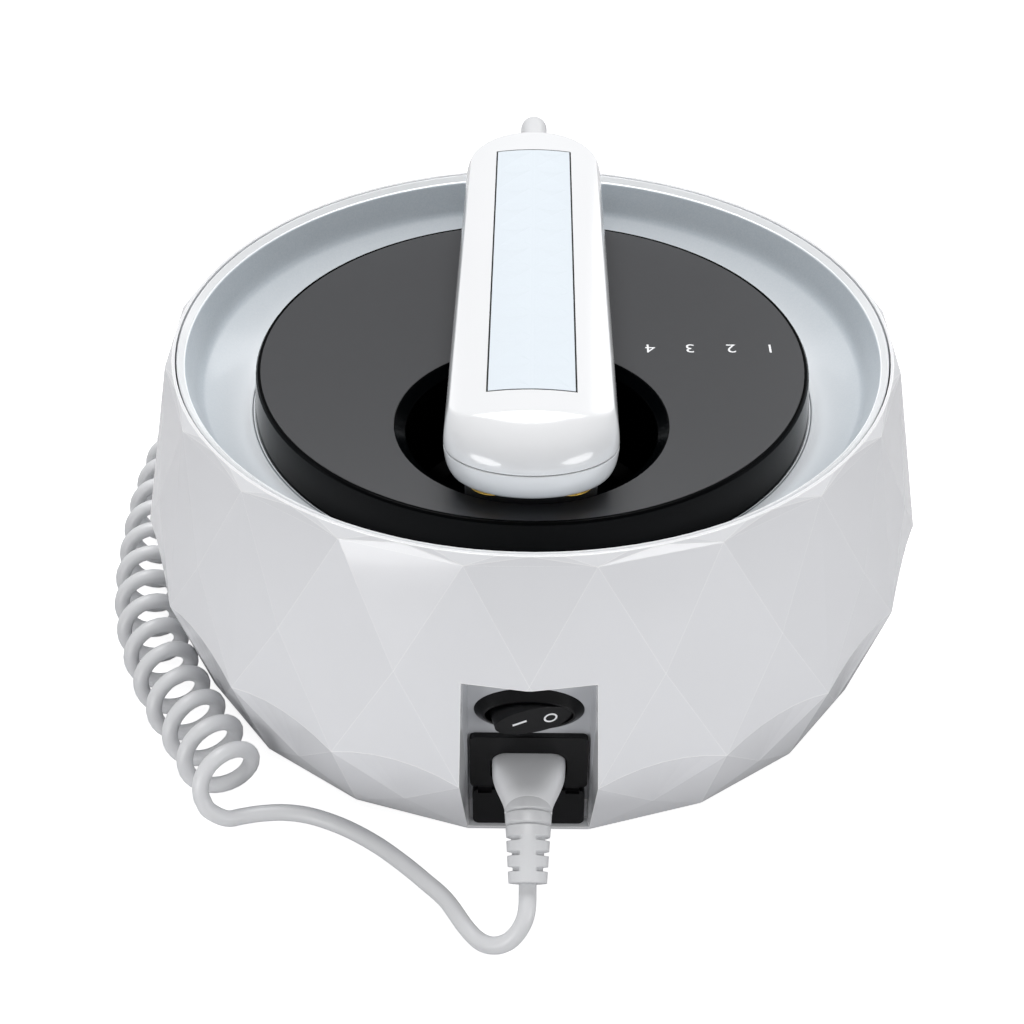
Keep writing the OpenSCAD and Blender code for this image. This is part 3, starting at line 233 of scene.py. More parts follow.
def silver_lacquer():
    """Pale blue-grey metallic lacquer over ABS: a satin sheen, fine flakes that only show close by, a
    paler colour on the gutter's flat floor as painted light from above, and a lip whose colour turns nearly
    white."""
    material, tree = new_material("silver_metallic_lacquer")
    place = put(tree, "ShaderNodeTexCoord")
    # real flake is about 0.03 mm; it is drawn at 0.4 mm so that it shows
    flake = put(tree, "ShaderNodeTexVoronoi", Vector=place.outputs["Object"], Scale=1000 / 0.4)
    grey = put(tree, "ShaderNodeSeparateColor", Color=flake.outputs["Color"])
    tint = put(tree, "ShaderNodeMix", {"data_type": "RGBA"}, _0=grey.outputs[0],
               _6=linear("#CAD4DC"), _7=linear("#D2DAE1"))
    facing = put(tree, "ShaderNodeSeparateXYZ", Vector=put(tree, "ShaderNodeNewGeometry").outputs["Normal"])
    # painted light: faces turned up, such as the gutter's floor, get a paler colour as if lit from above
    painted_top_light = put(tree, "ShaderNodeMapRange", Value=facing.outputs["Z"], From_Min=0.6, From_Max=0.95)
    floor = put(tree, "ShaderNodeMix", {"data_type": "RGBA"}, _0=painted_top_light.outputs[0], _6=tint.outputs[2],
                _7=linear("#F1F5F9"))
    height = put(tree, "ShaderNodeSeparateXYZ", Vector=place.outputs["Object"])
    # above LIP_Z the colour turns nearly white
    lip = put(tree, "ShaderNodeMapRange", Value=height.outputs["Z"],
              From_Min=(LIP_Z - 0.3) * MM, From_Max=LIP_Z * MM)
    paint = put(tree, "ShaderNodeMix", {"data_type": "RGBA"}, _0=lip.outputs[0], _6=floor.outputs[2],
                _7=linear("#F8FAFC"))
    bumps = put(tree, "ShaderNodeBump", Strength=0.03, Distance=0.02 * MM, Height=grey.outputs[0])
    soft = put(tree, "ShaderNodeBevel", {"samples": 6}, Radius=0.4 * MM)
    tree.links.new(soft.outputs["Normal"], bumps.inputs["Normal"])
    shader = put(tree, "ShaderNodeBsdfPrincipled", Base_Color=paint.outputs[2], Metallic=0.05,
                 Roughness=0.34, Normal=bumps.outputs[0], Coat_Weight=0.4, Coat_Roughness=0.1)
    close_surface(tree, shader)
    return material


def circuit_board():
    """Glass-epoxy board under green solder mask, with copper lines showing through as thin paler bands."""
    material, tree = new_material("green_solder_mask")
    place = put(tree, "ShaderNodeTexCoord")
    tracks = put(tree, "ShaderNodeTexBrick", Vector=place.outputs["Object"], Scale=1000 / 4,
                 Color1=linear("#1F6A41"), Color2=linear("#1A5C38"), Mortar=linear("#2E8554"))
    tracks.inputs["Mortar Size"].default_value = 0.06
    shader = put(tree, "ShaderNodeBsdfPrincipled", Base_Color=tracks.outputs["Color"], Roughness=0.35)
    close_surface(tree, shader)
    return material


def fuse_glass():
    """Drawn glass tube: clear, with a faint film that dims it."""
    material, tree = new_material("clear_soda_glass")
    place = put(tree, "ShaderNodeTexCoord")
    film = put(tree, "ShaderNodeTexNoise", Vector=place.outputs["Object"], Scale=1000 / 5)
    rough = put(tree, "ShaderNodeMapRange", Value=film.outputs["Fac"], To_Min=0.02, To_Max=0.08)
    shader = put(tree, "ShaderNodeBsdfPrincipled", Base_Color=linear("#E9EEF0"), Roughness=rough.outputs[0],
                 IOR=1.5, Transmission_Weight=0.7)
    close_surface(tree, shader)
    return material


# height above which the bowl's colour turns nearly white at its lip
LIP_Z = 90.6

# polished mould: hard white gloss, with a painted highlight, a white colour, along every facet's edge
GLOSS_SHELL = moulded_plastic("gloss_white_abs_shell", "#E6E7EA", 0.16, 6, 0.05, coat=0.3, edge=0.35,
                              painted_edge_highlight=True)
# polished mould under clear varnish: whiter and wetter than the shell, with soft highlights
GLOSS_HANDSET = moulded_plastic("gloss_white_abs_handset", "#ECEDEF", 0.16, 8, 0.03,
                                coat=0.5, coat_rough=0.09)
# spark-eroded mould: an even grey grain without highlights
REAR_GREY = moulded_plastic("spark_eroded_grey_abs", "#BEC0C4", 0.5, 0.8, 0.25, edge=0.2)
# plain mould: a quiet satin white
UNDER_WHITE = moulded_plastic("satin_white_abs", "#D3D5D8", 0.42, 1.2, 0.2, edge=0.2)
# plain mould: a mid grey that recedes in the well
REST_GREY = moulded_plastic("satin_grey_abs", "#6E7074", 0.4, 1.0, 0.2, edge=0.2)
# polished mould: deep black with a thin highlight on the rounded edge
PIANO_BLACK = moulded_plastic("piano_black_abs", "#030405", 0.14, 8, 0.03, edge=0.3, specular=0.06)
# cast smoked sheet with a hard coat: charcoal, with a broad and blurred sheen
PANEL_SMOKE = moulded_plastic("smoked_acrylic_panel", "#353639", 0.34, 2.5, 0.04, coat=0.25, coat_rough=0.2)
# fine-textured mould: black with a dull edge light
SWITCH_BLACK = moulded_plastic("black_nylon", "#0C0C0E", 0.3, 0.8, 0.15, edge=0.25, specular=0.3)
# extruded jacket: soft grey-white with a faint long sheen
CORD_PVC = moulded_plastic("grey_white_pvc_jacket", "#D8D9DB", 0.34, 1.5, 0.12)
# overmoulded plug: the same plastic as the relief, duller, with a paler colour that is painted light
PLUG_PVC_LIT_COPY = moulded_plastic("grey_white_pvc_painted_paler", "#ECEDEF", 0.4, 1.0, 0.15)
# sprayed pearl under clear varnish: a cold white that the pyramids break into small planes
INLAY_PEARL = moulded_plastic("pearl_lacquered_inlay", "#E2EAF1", 0.14, 3, 0.03, coat=0.6, coat_rough=0.05)
# pad print: flat white without shine
INK_WHITE = moulded_plastic("white_printing_ink", "#E9EAEC", 0.5, 0.6, 0.1)
# cast epoxy: a milky, smooth bead
LAMP_CLEAR = moulded_plastic("clear_epoxy_lamp", "#D9DDDF", 0.12, 2, 0.05)
# moulded rubber: dull and soft black
FOOT_RUBBER = moulded_plastic("moulded_black_rubber", "#26272A", 0.7, 0.7, 0.4)
# stacked sheets dipped in varnish: dark grey with a rough skin
CORE_STEEL = moulded_plastic("varnished_core_steel", "#474A4F", 0.5, 0.6, 0.3)
# electroplating on turned brass: small warm glints
GOLD_PLATE = metal("gold_plated_brass", "#D9B25A", 0.16)
# zinc plating: cold and slightly cloudy grey
SCREW_STEEL = metal("zinc_plated_steel", "#B9BCC0", 0.32)
# drawn wire under enamel: a reddish brown shine
COPPER_WIRE = metal("enamelled_copper_wire", "#B8703A", 0.28)
# stamped and tinned sheet: pale yellow, softly blurred
BRASS_TAB = metal("tinned_brass", "#C8B078", 0.3)
BOWL_SILVER = silver_lacquer()
BOARD_GREEN = circuit_board()
GLASS_TUBE = fuse_glass()

CAD_FINISH = {
    "outer_shell": GLOSS_SHELL, "rear_panel": REAR_GREY, "bottom_plate": UNDER_WHITE, "feet": FOOT_RUBBER,
    "bottom_screws": SCREW_STEEL, "inner_bowl": BOWL_SILVER, "disc_housing": PIANO_BLACK,
    "touch_panel": PANEL_SMOKE, "well_cup": PIANO_BLACK, "cradle_rest": REST_GREY,
    "touch_board": BOARD_GREEN, "level_lamps": LAMP_CLEAR, "buzzer": SWITCH_BLACK,
    "housing_screws": SCREW_STEEL, "power_board": BOARD_GREEN, "transformer_core": CORE_STEEL,
    "transformer_winding": COPPER_WIRE, "rf_board": BOARD_GREEN, "rf_coil": COPPER_WIRE,
    "board_screws": SCREW_STEEL, "switch_body": SWITCH_BLACK, "switch_rocker": SWITCH_BLACK,
    "switch_terminals": BRASS_TAB, "inlet_housing": SWITCH_BLACK, "inlet_pins": BRASS_TAB,
    "fuse_drawer": SWITCH_BLACK, "fuse": GLASS_TUBE, "plug": PLUG_PVC_LIT_COPY, "plug_relief": PLUG_PVC_LIT_COPY,
    "lead_to_coil": CORD_PVC, "curly_cord": CORD_PVC, "lead_to_handset": CORD_PVC,
    "handset_top_cover": GLOSS_HANDSET, "handset_lower_cover": GLOSS_HANDSET,
    "handset_inlay": INLAY_PEARL, "electrode_carrier": UNDER_WHITE, "electrodes": GOLD_PLATE,
    "handset_board": BOARD_GREEN, "handset_screws": SCREW_STEEL, "handset_gland": PLUG_PVC_LIT_COPY,
}
for node_name, node in NODES.items():
    dress(node, CAD_FINISH[node_name])


# ---------------------------------------------------------------- cord

PLUG_W, PLUG_H = 18.6, 10.4
PLUG_BODY, PLUG_DROP = 14.1, 0.8
PLUG_FACE_Y, SOCKET_Z = -98.3, 23.1
RELIEF_L, RELIEF_BEND = 19, math.radians(36)
RELIEF_R0, RELIEF_R1, RELIEF_RIBS = 5.9, 4.7, 5
FINE_RINGS, FINE_DEPTH, NOTCH_DEPTH, WEB_HALF = 2, 0.7, 1.2, 2.1


def relief_arc(a):
    """Point on the strain relief's bent centre line."""
    r = RELIEF_L / RELIEF_BEND
    return Vector((0, PLUG_FACE_Y - PLUG_BODY - r * math.sin(a),
                   SOCKET_Z - PLUG_DROP + r * (math.cos(a) - 1)))


RELIEF_END = relief_arc(RELIEF_BEND)
GLAND_R, GLAND_Y, GLAND_Z = 4.3, 108.4, 99.5
GLAND_BEND, GLAND_BEND_R, GLAND_TIP, GLAND_TIP_R = math.radians(62), 11, 8, 2.8
GLAND_DIR = Vector((0, math.cos(GLAND_BEND), -math.sin(GLAND_BEND)))


def gland_arc(a):
    """Point on the handset sleeve's bent centre line."""
    return Vector((0, GLAND_Y + GLAND_BEND_R * math.sin(a), GLAND_Z - GLAND_BEND_R * (1 - math.cos(a))))


GLAND_END = gland_arc(GLAND_BEND) + GLAND_TIP * GLAND_DIR
# height of the cord's centre where it lies on the table
LIE = 2.4
LEAD_FROM_PLUG = [
    RELIEF_END, (-0.2, -135.5, 12.6), (-1.7, -138.2, 9.5), (-4.4, -139.5, 6.4), (-8, -138.9, 3.9),
    (-11.6, -136.5, LIE + 0.1), (-15.2, -132.1, LIE), (-20.4, -123.7, LIE), (-26, -117.7, LIE),
    (-32, -111.8, LIE), (-39.5, -105.4, LIE), (-48, -99.9, LIE), (-56.9, -96.1, LIE),
    (-64.2, -94.9, LIE), (-70.6, -95.4, LIE), (-75.1, -96.6, LIE + 0.2), (-78.8, -98.4, LIE + 1.3),
    (-81.6, -100.6, LIE + 3.5)]
COIL_LINE = [
    (-75.4, -97), (-78.4, -91.7), (-82, -85.2), (-86.2, -77.6), (-91.4, -69.2), (-97.3, -59.3),
    (-103, -47.5), (-108.2, -34.8), (-112, -20.8), (-114.2, -6.4), (-115.4, 8.8), (-116.2, 24),
    (-116, 39.3), (-114.8, 54.6), (-111.9, 69.4), (-106.4, 83.2), (-98.6, 96), (-88.6, 107.4),
    (-76.6, 117)]
LEAD_TO_HANDSET = [
    (-76.6, 117, LIE), (-72, 120.4, LIE), (-63, 125.4, LIE), (-52, 129.4, LIE), (-40, 132.2, LIE),
    (-28, 134.6, 4.6), (-18, 136.6, 11.6), (-10.4, 138, 22.6), (-5.4, 138, 36), (-2.6, 136, 50),
    (-1, 132.4, 63), (-0.2, 128.2, 74), GLAND_END]
CORD_D = 4.4
COIL_R, COIL_SLIM, COIL_SLIM_REACH = 8.3, 0.6, 85
COIL_PITCH = 11.3
COIL_EASE = 8.0
COIL_START = math.radians(50)
COIL_STEP = 0.42


def through(points, spacing):
    """Points of a smooth curve through the given ones, about spacing apart."""
    pts = [Vector(p) for p in points]
    pts = [pts[0] * 2 - pts[1]] + pts + [pts[-1] * 2 - pts[-2]]
    out = [pts[1].copy()]
    for i in range(1, len(pts) - 2):
        a, b, c, d = pts[i - 1:i + 3]
        count = max(2, round((c - b).length / spacing))
        for k in range(1, count + 1):
            t = k / count
            out.append(0.5 * ((2 * b) + (c - a) * t + (2 * a - 5 * b + 4 * c - d) * t * t
                              + (3 * b - a - 3 * c + d) * t ** 3))
    return out


def arc_lengths(points):
    """Distance along a polyline up to each of its points."""
    total, out = 0.0, [0.0]
    for a, b in zip(points, points[1:]):
        total += (b - a).length
        out.append(total)
    return out


def sample(points, lengths, s):
    """Point and direction at a distance along a polyline."""
    s = min(max(s, 0), lengths[-1])
    i = max(1, next((k for k, v in enumerate(lengths) if v >= s), len(lengths) - 1))
    a, b = points[i - 1], points[i]
    t = (s - lengths[i - 1]) / max(1e-9, lengths[i] - lengths[i - 1])
    return a.lerp(b, t), (b - a).normalized()


def coil_path():
    """Helix round the coil's centre line, a little slimmer where it is drawn out. Its turning
    comes in and goes out gently, so that the leads run into it without a kink."""
    line = through([(x, y, 0) for x, y in COIL_LINE], 1.5)
    lengths = arc_lengths(line)
    length = lengths[-1]
    turns = round((length - COIL_EASE) / COIL_PITCH)
    sweep = 2 * math.pi * turns - COIL_START
    steps = round(length / COIL_STEP)

    def turned(s):
        """Distance along the line that has been turned, with a ramp at each end."""
        e = COIL_EASE
        if s < e:
            return s * s / (2 * e)
        if s > length - e:
            return length - e - (length - s) ** 2 / (2 * e)
        return s - e / 2

    out = []
    for k in range(steps):
        s = length * k / steps
        angle = COIL_START + sweep * turned(s) / (length - COIL_EASE)
        centre, along = sample(line, lengths, s)
        radius = COIL_R - COIL_SLIM * smooth(s / COIL_SLIM_REACH)
        side = Vector((-along.y, along.x, 0)).normalized()
        lift = Vector((0, 0, radius + CORD_D / 2 + 0.1))
        out.append(centre + lift + radius * (math.sin(angle) * side - math.cos(angle) * Vector((0, 0, 1))))
    return out


def swept_tube(name, path, radius, sides):
    """Round tube along a path, with rings carried along without twist. The radius is one value
    or one for each point."""
    rings = []
    up = Vector((0.13, 0.2, 1))
    for i, p in enumerate(path):
        ahead = path[min(i + 1, len(path) - 1)]
        behind = path[max(i - 1, 0)]
        along = (ahead - behind).normalized()
        up = (up - along * up.dot(along)).normalized()
        side = along.cross(up)
        r = radius[i] if isinstance(radius, list) else radius
        rings.append([p + r * (math.cos(2 * math.pi * j / sides) * side
                               + math.sin(2 * math.pi * j / sides) * up) for j in range(sides)])
    piece = mesh_piece(name, *loft(rings))
    face_outwards(piece)
    return piece


COIL_PATH = coil_path()
# the lead's last point only closes its solid at the coil's first plane, so the route turns in before it
CORD_PATH = (through(LEAD_FROM_PLUG[:-1] + [COIL_PATH[6], COIL_PATH[10]], 0.8)[:-1] + COIL_PATH[10:]
             + through(LEAD_TO_HANDSET, 2.0))
CORD_LENGTH = arc_lengths(CORD_PATH)[-1] * MM


def plug_section(t, n=72):
    """Ring of the plug, from the socket at 0 to the relief at 1. Its sides are superellipses: nearly a
    rectangle at the socket, a circle at the relief."""
    f = max(0, t)
    neck = 2 * RELIEF_R0 + 0.04
    w = PLUG_W + (neck - PLUG_W) * smooth(f)
    h = PLUG_H + (neck - PLUG_H) * f
    e = 2 / (4.5 - 2.5 * f)
    y, z = PLUG_FACE_Y - PLUG_BODY * t, SOCKET_Z - PLUG_DROP * f * f

    def power(v):
        return math.copysign(abs(v) ** e, v)

    angles = [2 * math.pi * (j + 0.5) / n for j in range(n)]
    return [(w / 2 * power(math.cos(a)), y, z + h / 2 * power(math.sin(a))) for a in angles]


def moulded_plug():
    """Plug body, let a little into the socket, with a small step at the relief."""
    rings = [plug_section(-0.24 + 1.24 * i / 44) for i in range(45)]
    middle = SOCKET_Z - PLUG_DROP
    lip = [(x * 0.96, y - 0.35, middle + (z - middle) * 0.96) for x, y, z in rings[-1]]
    piece = mesh_piece("moulded_plug", *loft(rings + [lip]))
    face_outwards(piece)
    return piece


def ribbed_relief(sides=56, rows=200):
    """Bent strain relief. Its grooves lean with the mould's parting line. The first two are fine
    rings, and the others stop at a web along the top."""
    rings = []
    for i in range(rows + 1):
        q = i / rows
        a = RELIEF_BEND * q
        up = Vector((0, -math.sin(a), math.cos(a)))
        r = RELIEF_R0 + (RELIEF_R1 - RELIEF_R0) * q
        ring = []
        for j in range(sides):
            turn = 2 * math.pi * j / sides
            u = (q - (0.163 - 0.145 * q) * math.sin(turn)) * RELIEF_RIBS - 0.12
            rib = min(RELIEF_RIBS - 1, max(0, round(u)))
            fine = rib < FINE_RINGS
            edge = 0.05 if fine else 0.1
            depth = (FINE_DEPTH if fine else NOTCH_DEPTH) * (1 - smooth((abs(u - rib) - edge) / 0.05))
            off_top = abs(math.atan2(math.cos(turn), math.sin(turn))) * r
            web = 0 if fine else 1 - smooth((off_top - WEB_HALF) / 0.5)
            cut = r - depth * (1 - web)
            ring.append(relief_arc(a) + cut * (math.cos(turn) * Vector((1, 0, 0)) + math.sin(turn) * up))
        rings.append(ring)
    piece = mesh_piece("ribbed_relief", *loft(rings))
    face_outwards(piece)
    return piece


def bent_gland():
    """Sleeve at the handset's tail, bent down and tapered to the cord."""
    path = [Vector((0, 89, GLAND_Z)), Vector((0, 100, GLAND_Z)), Vector((0, 105, GLAND_Z))]
    radii = [GLAND_R, GLAND_R, GLAND_R - 0.08]
    bend_steps, tip_steps = 18, 8
    for i in range(bend_steps + 1):
        path.append(gland_arc(GLAND_BEND * i / bend_steps))
        radii.append(GLAND_R - 0.15 - 0.6 * max(0, i / bend_steps - 0.5) * 2)
    for i in range(1, tip_steps + 1):
        t = i / tip_steps
        path.append(gland_arc(GLAND_BEND) + GLAND_TIP * t * GLAND_DIR)
        radii.append(radii[3 + bend_steps] + (GLAND_TIP_R - radii[3 + bend_steps]) * smooth(t))
    return swept_tube("bent_gland", path, radii, 40)


# the plug's paler colour is painted light; it is one moulding with the relief
plug_piece = settle(moulded_plug(), "base", PLUG_PVC_LIT_COPY, "cord_grey", "plug")
relief_piece = settle(ribbed_relief(), "base", CORD_PVC, "cord_grey", "plug_relief")
gland_piece = settle(bent_gland(), "handset", CORD_PVC, "cord_grey", "handset_gland")
cord = swept_tube("appliance_cord", CORD_PATH, CORD_D / 2, 14)
dress(cord, CORD_PVC)
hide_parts("lead_to_coil", "curly_cord", "lead_to_handset")
# straight up, so that only height counts and the stretches on the table stay with the base
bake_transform(cord)


# ---------------------------------------------------------------- handset

SEAM_Z = 96.9
TOP_RISE = 11.6
CROWN_R = 76
NOSE_Y, TAIL_Y = 73.4, 96
NOSE_W, TAIL_W = 43.4, 41.4
NOSE_DEPTH, TAIL_DEPTH = 14, 20
HEAD_Y = 53.2
HEAD_LOW, HANDLE_LOW = 8.9, 4.2
INLAY_W, INLAY_L, INLAY_BACK = 21.6, 130.5, 20.7
INLAY_GROOVE, INLAY_T, POCKET_DEPTH = 0.45, 1.25, 1.3
# how far the covers draw in at the side, the nose and the tail as they round over
TOP_DRAW_IN = (5, 17, 9)
LOWER_DRAW_IN = (3.2, 3.6, 8)


def bar_outline(side, nose, tail, fine=26):
    """Plan of the bar, from the nose's tip along the right side to the tail's tip and back."""
    nose_b, tail_b = NOSE_DEPTH - side, TAIL_DEPTH - side
    nose_mid, tail_mid = -NOSE_Y + nose + nose_b, TAIL_Y - tail - tail_b
    right = []
    for i in range(fine + 1):
        a = math.pi / 2 * i / fine
        right.append(((NOSE_W / 2 - side) * math.sin(a), nose_mid - nose_b * math.cos(a)))
    for i in range(1, 40):
        t = i / 40
        y = nose_mid + (tail_mid - nose_mid) * t
        right.append(((NOSE_W + (TAIL_W - NOSE_W) * t) / 2 - side, y))
    for i in range(fine + 1):
        a = math.pi / 2 * i / fine
        right.append(((TAIL_W / 2 - side) * math.cos(a), tail_mid + tail_b * math.sin(a)))
    return right + [(-x, y) for x, y in right[-2:0:-1]]


def crown(x):
    """Height of the crowned top."""
    return SEAM_Z + TOP_RISE - CROWN_R + math.sqrt(CROWN_R ** 2 - x * x)


def low_depth(y):
    """Depth of the lower cover: deep under the head, easing to the handle's between 19 and 29 mm
    behind the head's middle."""
    return HEAD_LOW + (HANDLE_LOW - HEAD_LOW) * smooth((y + HEAD_Y - 19) / 10)


def close_across(rings, rows, height):
    """Adds rings that shrink towards the centre line, so that the open top closes smoothly."""
    last = rings[-1]
    for k in range(1, rows + 1):
        f = 1 - k / rows
        rings.append([(x * f, y, height(x * f, y)) for x, y, _ in last])


def handset_top():
    """Upper cover: rounded shoulders, a crowned top and the pocket for the inlay."""
    rings = [[(x, y, SEAM_Z + 0.12) for x, y in bar_outline(0.3, 0.3, 0.3)],
             [(x, y, SEAM_Z + 0.16) for x, y in bar_outline(0.08, 0.08, 0.08)]]
    steps = 26
    for i in range(steps + 1):
        a = math.pi / 2 * i / steps
        s = 1 - math.cos(a)
        z = max(SEAM_Z + 0.3, SEAM_Z + (TOP_RISE + 0.8) * math.sin(a))
        rings.append([(x, y, min(z, crown(x))) for x, y in bar_outline(*(s * d for d in TOP_DRAW_IN))])
    close_across(rings, 6, lambda x, y: crown(x))
    verts, faces = loft(rings, close_end=False)
    piece = mesh_piece("handset_upper_shell", verts, faces)
    face_outwards(piece)
    cut_pocket(piece)
    return piece


def cut_pocket(piece):
    """Sinks a square-cornered pocket for the inlay into the top."""
    half = (INLAY_W / 2 + INLAY_GROOVE) * MM
    y0 = (INLAY_BACK - NOSE_Y - INLAY_GROOVE) * MM
    y1 = y0 + (INLAY_L + 2 * INLAY_GROOVE) * MM
    work = bmesh.new()
    work.from_mesh(piece.data)
    for point, normal in (((half, 0, 0), (1, 0, 0)), ((-half, 0, 0), (1, 0, 0)),
                          ((0, y0, 0), (0, 1, 0)), ((0, y1, 0), (0, 1, 0))):
        bmesh.ops.bisect_plane(work, geom=work.verts[:] + work.edges[:] + work.faces[:],
                               plane_co=point, plane_no=normal, dist=1e-7)
    inside = [f for f in work.faces
              if abs(f.calc_center_median().x) < half and y0 < f.calc_center_median().y < y1
              and f.calc_center_median().z > (SEAM_Z + 6) * MM]
    bmesh.ops.delete(work, geom=inside, context="FACES")
    rim = [e for e in work.edges if e.is_boundary and min(v.co.z for v in e.verts) > (SEAM_Z + 6) * MM]
    wall = bmesh.ops.extrude_edge_only(work, edges=rim)
    low = [g for g in wall["geom"] if isinstance(g, bmesh.types.BMVert)]
    for v in low:
        v.co.z -= POCKET_DEPTH * MM
    for e in work.edges:
        if len(e.link_faces) == 2 and e.calc_face_angle(0) > math.radians(40):
            e.smooth = False
    floor_edges = [e for e in work.edges if e.is_boundary and e.verts[0] in low and e.verts[1] in low]
    bmesh.ops.contextual_create(work, geom=floor_edges)
    work.to_mesh(piece.data)
    work.free()


def handset_lower():
    """Lower cover: shallow along the handle, deeper under the head."""
    rings = [[(x, y, SEAM_Z - 0.12) for x, y in bar_outline(0.3, 0.3, 0.3)],
             [(x, y, SEAM_Z - 0.16) for x, y in bar_outline(0.08, 0.08, 0.08)]]
    steps = 20
    for i in range(steps + 1):
        a = math.pi / 2 * i / steps
        s = 1 - math.cos(a)
        rings.append([(x, y, min(SEAM_Z - 0.3, SEAM_Z - low_depth(y) * math.sin(a)))
                      for x, y in bar_outline(*(s * d for d in LOWER_DRAW_IN))])
    close_across(rings, 4, lambda x, y: SEAM_Z - low_depth(y))
    verts, faces = loft(rings, close_end=False)
    piece = mesh_piece("handset_lower_shell", verts, faces)
    face_outwards(piece)
    return piece


def handset_seam():
    """Dark line where the two covers meet."""
    rings = [[(x, y, z) for x, y in bar_outline(0.28, 0.28, 0.28)] for z in (SEAM_Z - 0.14, SEAM_Z + 0.14)]
    piece = mesh_piece("handset_seam_line", *loft(rings), smooth=False)
    face_outwards(piece)
    return piece


def inlay_groove_painted_shade():
    """Painted shade: a dark strip round the inlay, low in its groove, where the groove lies in shadow."""
    def outline(grow, drop):
        xs = [(INLAY_W / 2 + grow) * (j / 8 - 1) for j in range(17)]
        y0 = INLAY_BACK - NOSE_Y - grow
        y1 = y0 + INLAY_L + 2 * grow
        return [(x, y, crown(x) - drop) for x, y in [(x, y0) for x in xs] + [(x, y1) for x in reversed(xs)]]

    # the line reaches a little into both walls of the groove, so that no white shows beside it
    inner, outer = -0.03, INLAY_GROOVE + 0.03
    high, low = 0.12, 0.6
    rings = [outline(inner, high), outline(outer, high), outline(outer, low), outline(inner, low)]
    piece = mesh_piece("inlay_groove_painted_shade", *hoop(rings), smooth=False)
    face_outwards(piece)
    return piece


def inlay_plate():
    """Crowned plate with a plain border, let into the upper cover."""
    half, y0, across, along = INLAY_W / 2, INLAY_BACK - NOSE_Y, 16, 24
    rings = []
    for i in range(along + 1):
        y = y0 + INLAY_L * i / along
        xs = [-half + INLAY_W * j / across for j in range(across + 1)]
        rings.append([(x, y, crown(x) - INLAY_T) for x in xs] + [(x, y, crown(x)) for x in reversed(xs)])
    piece = mesh_piece("handset_inlay_plate", *loft(rings), smooth=False)
    face_outwards(piece)
    return piece


INLAY_COLUMNS, INLAY_ROWS, INLAY_BORDER, INLAY_RISE = 2, 11, 0.6, 0.22


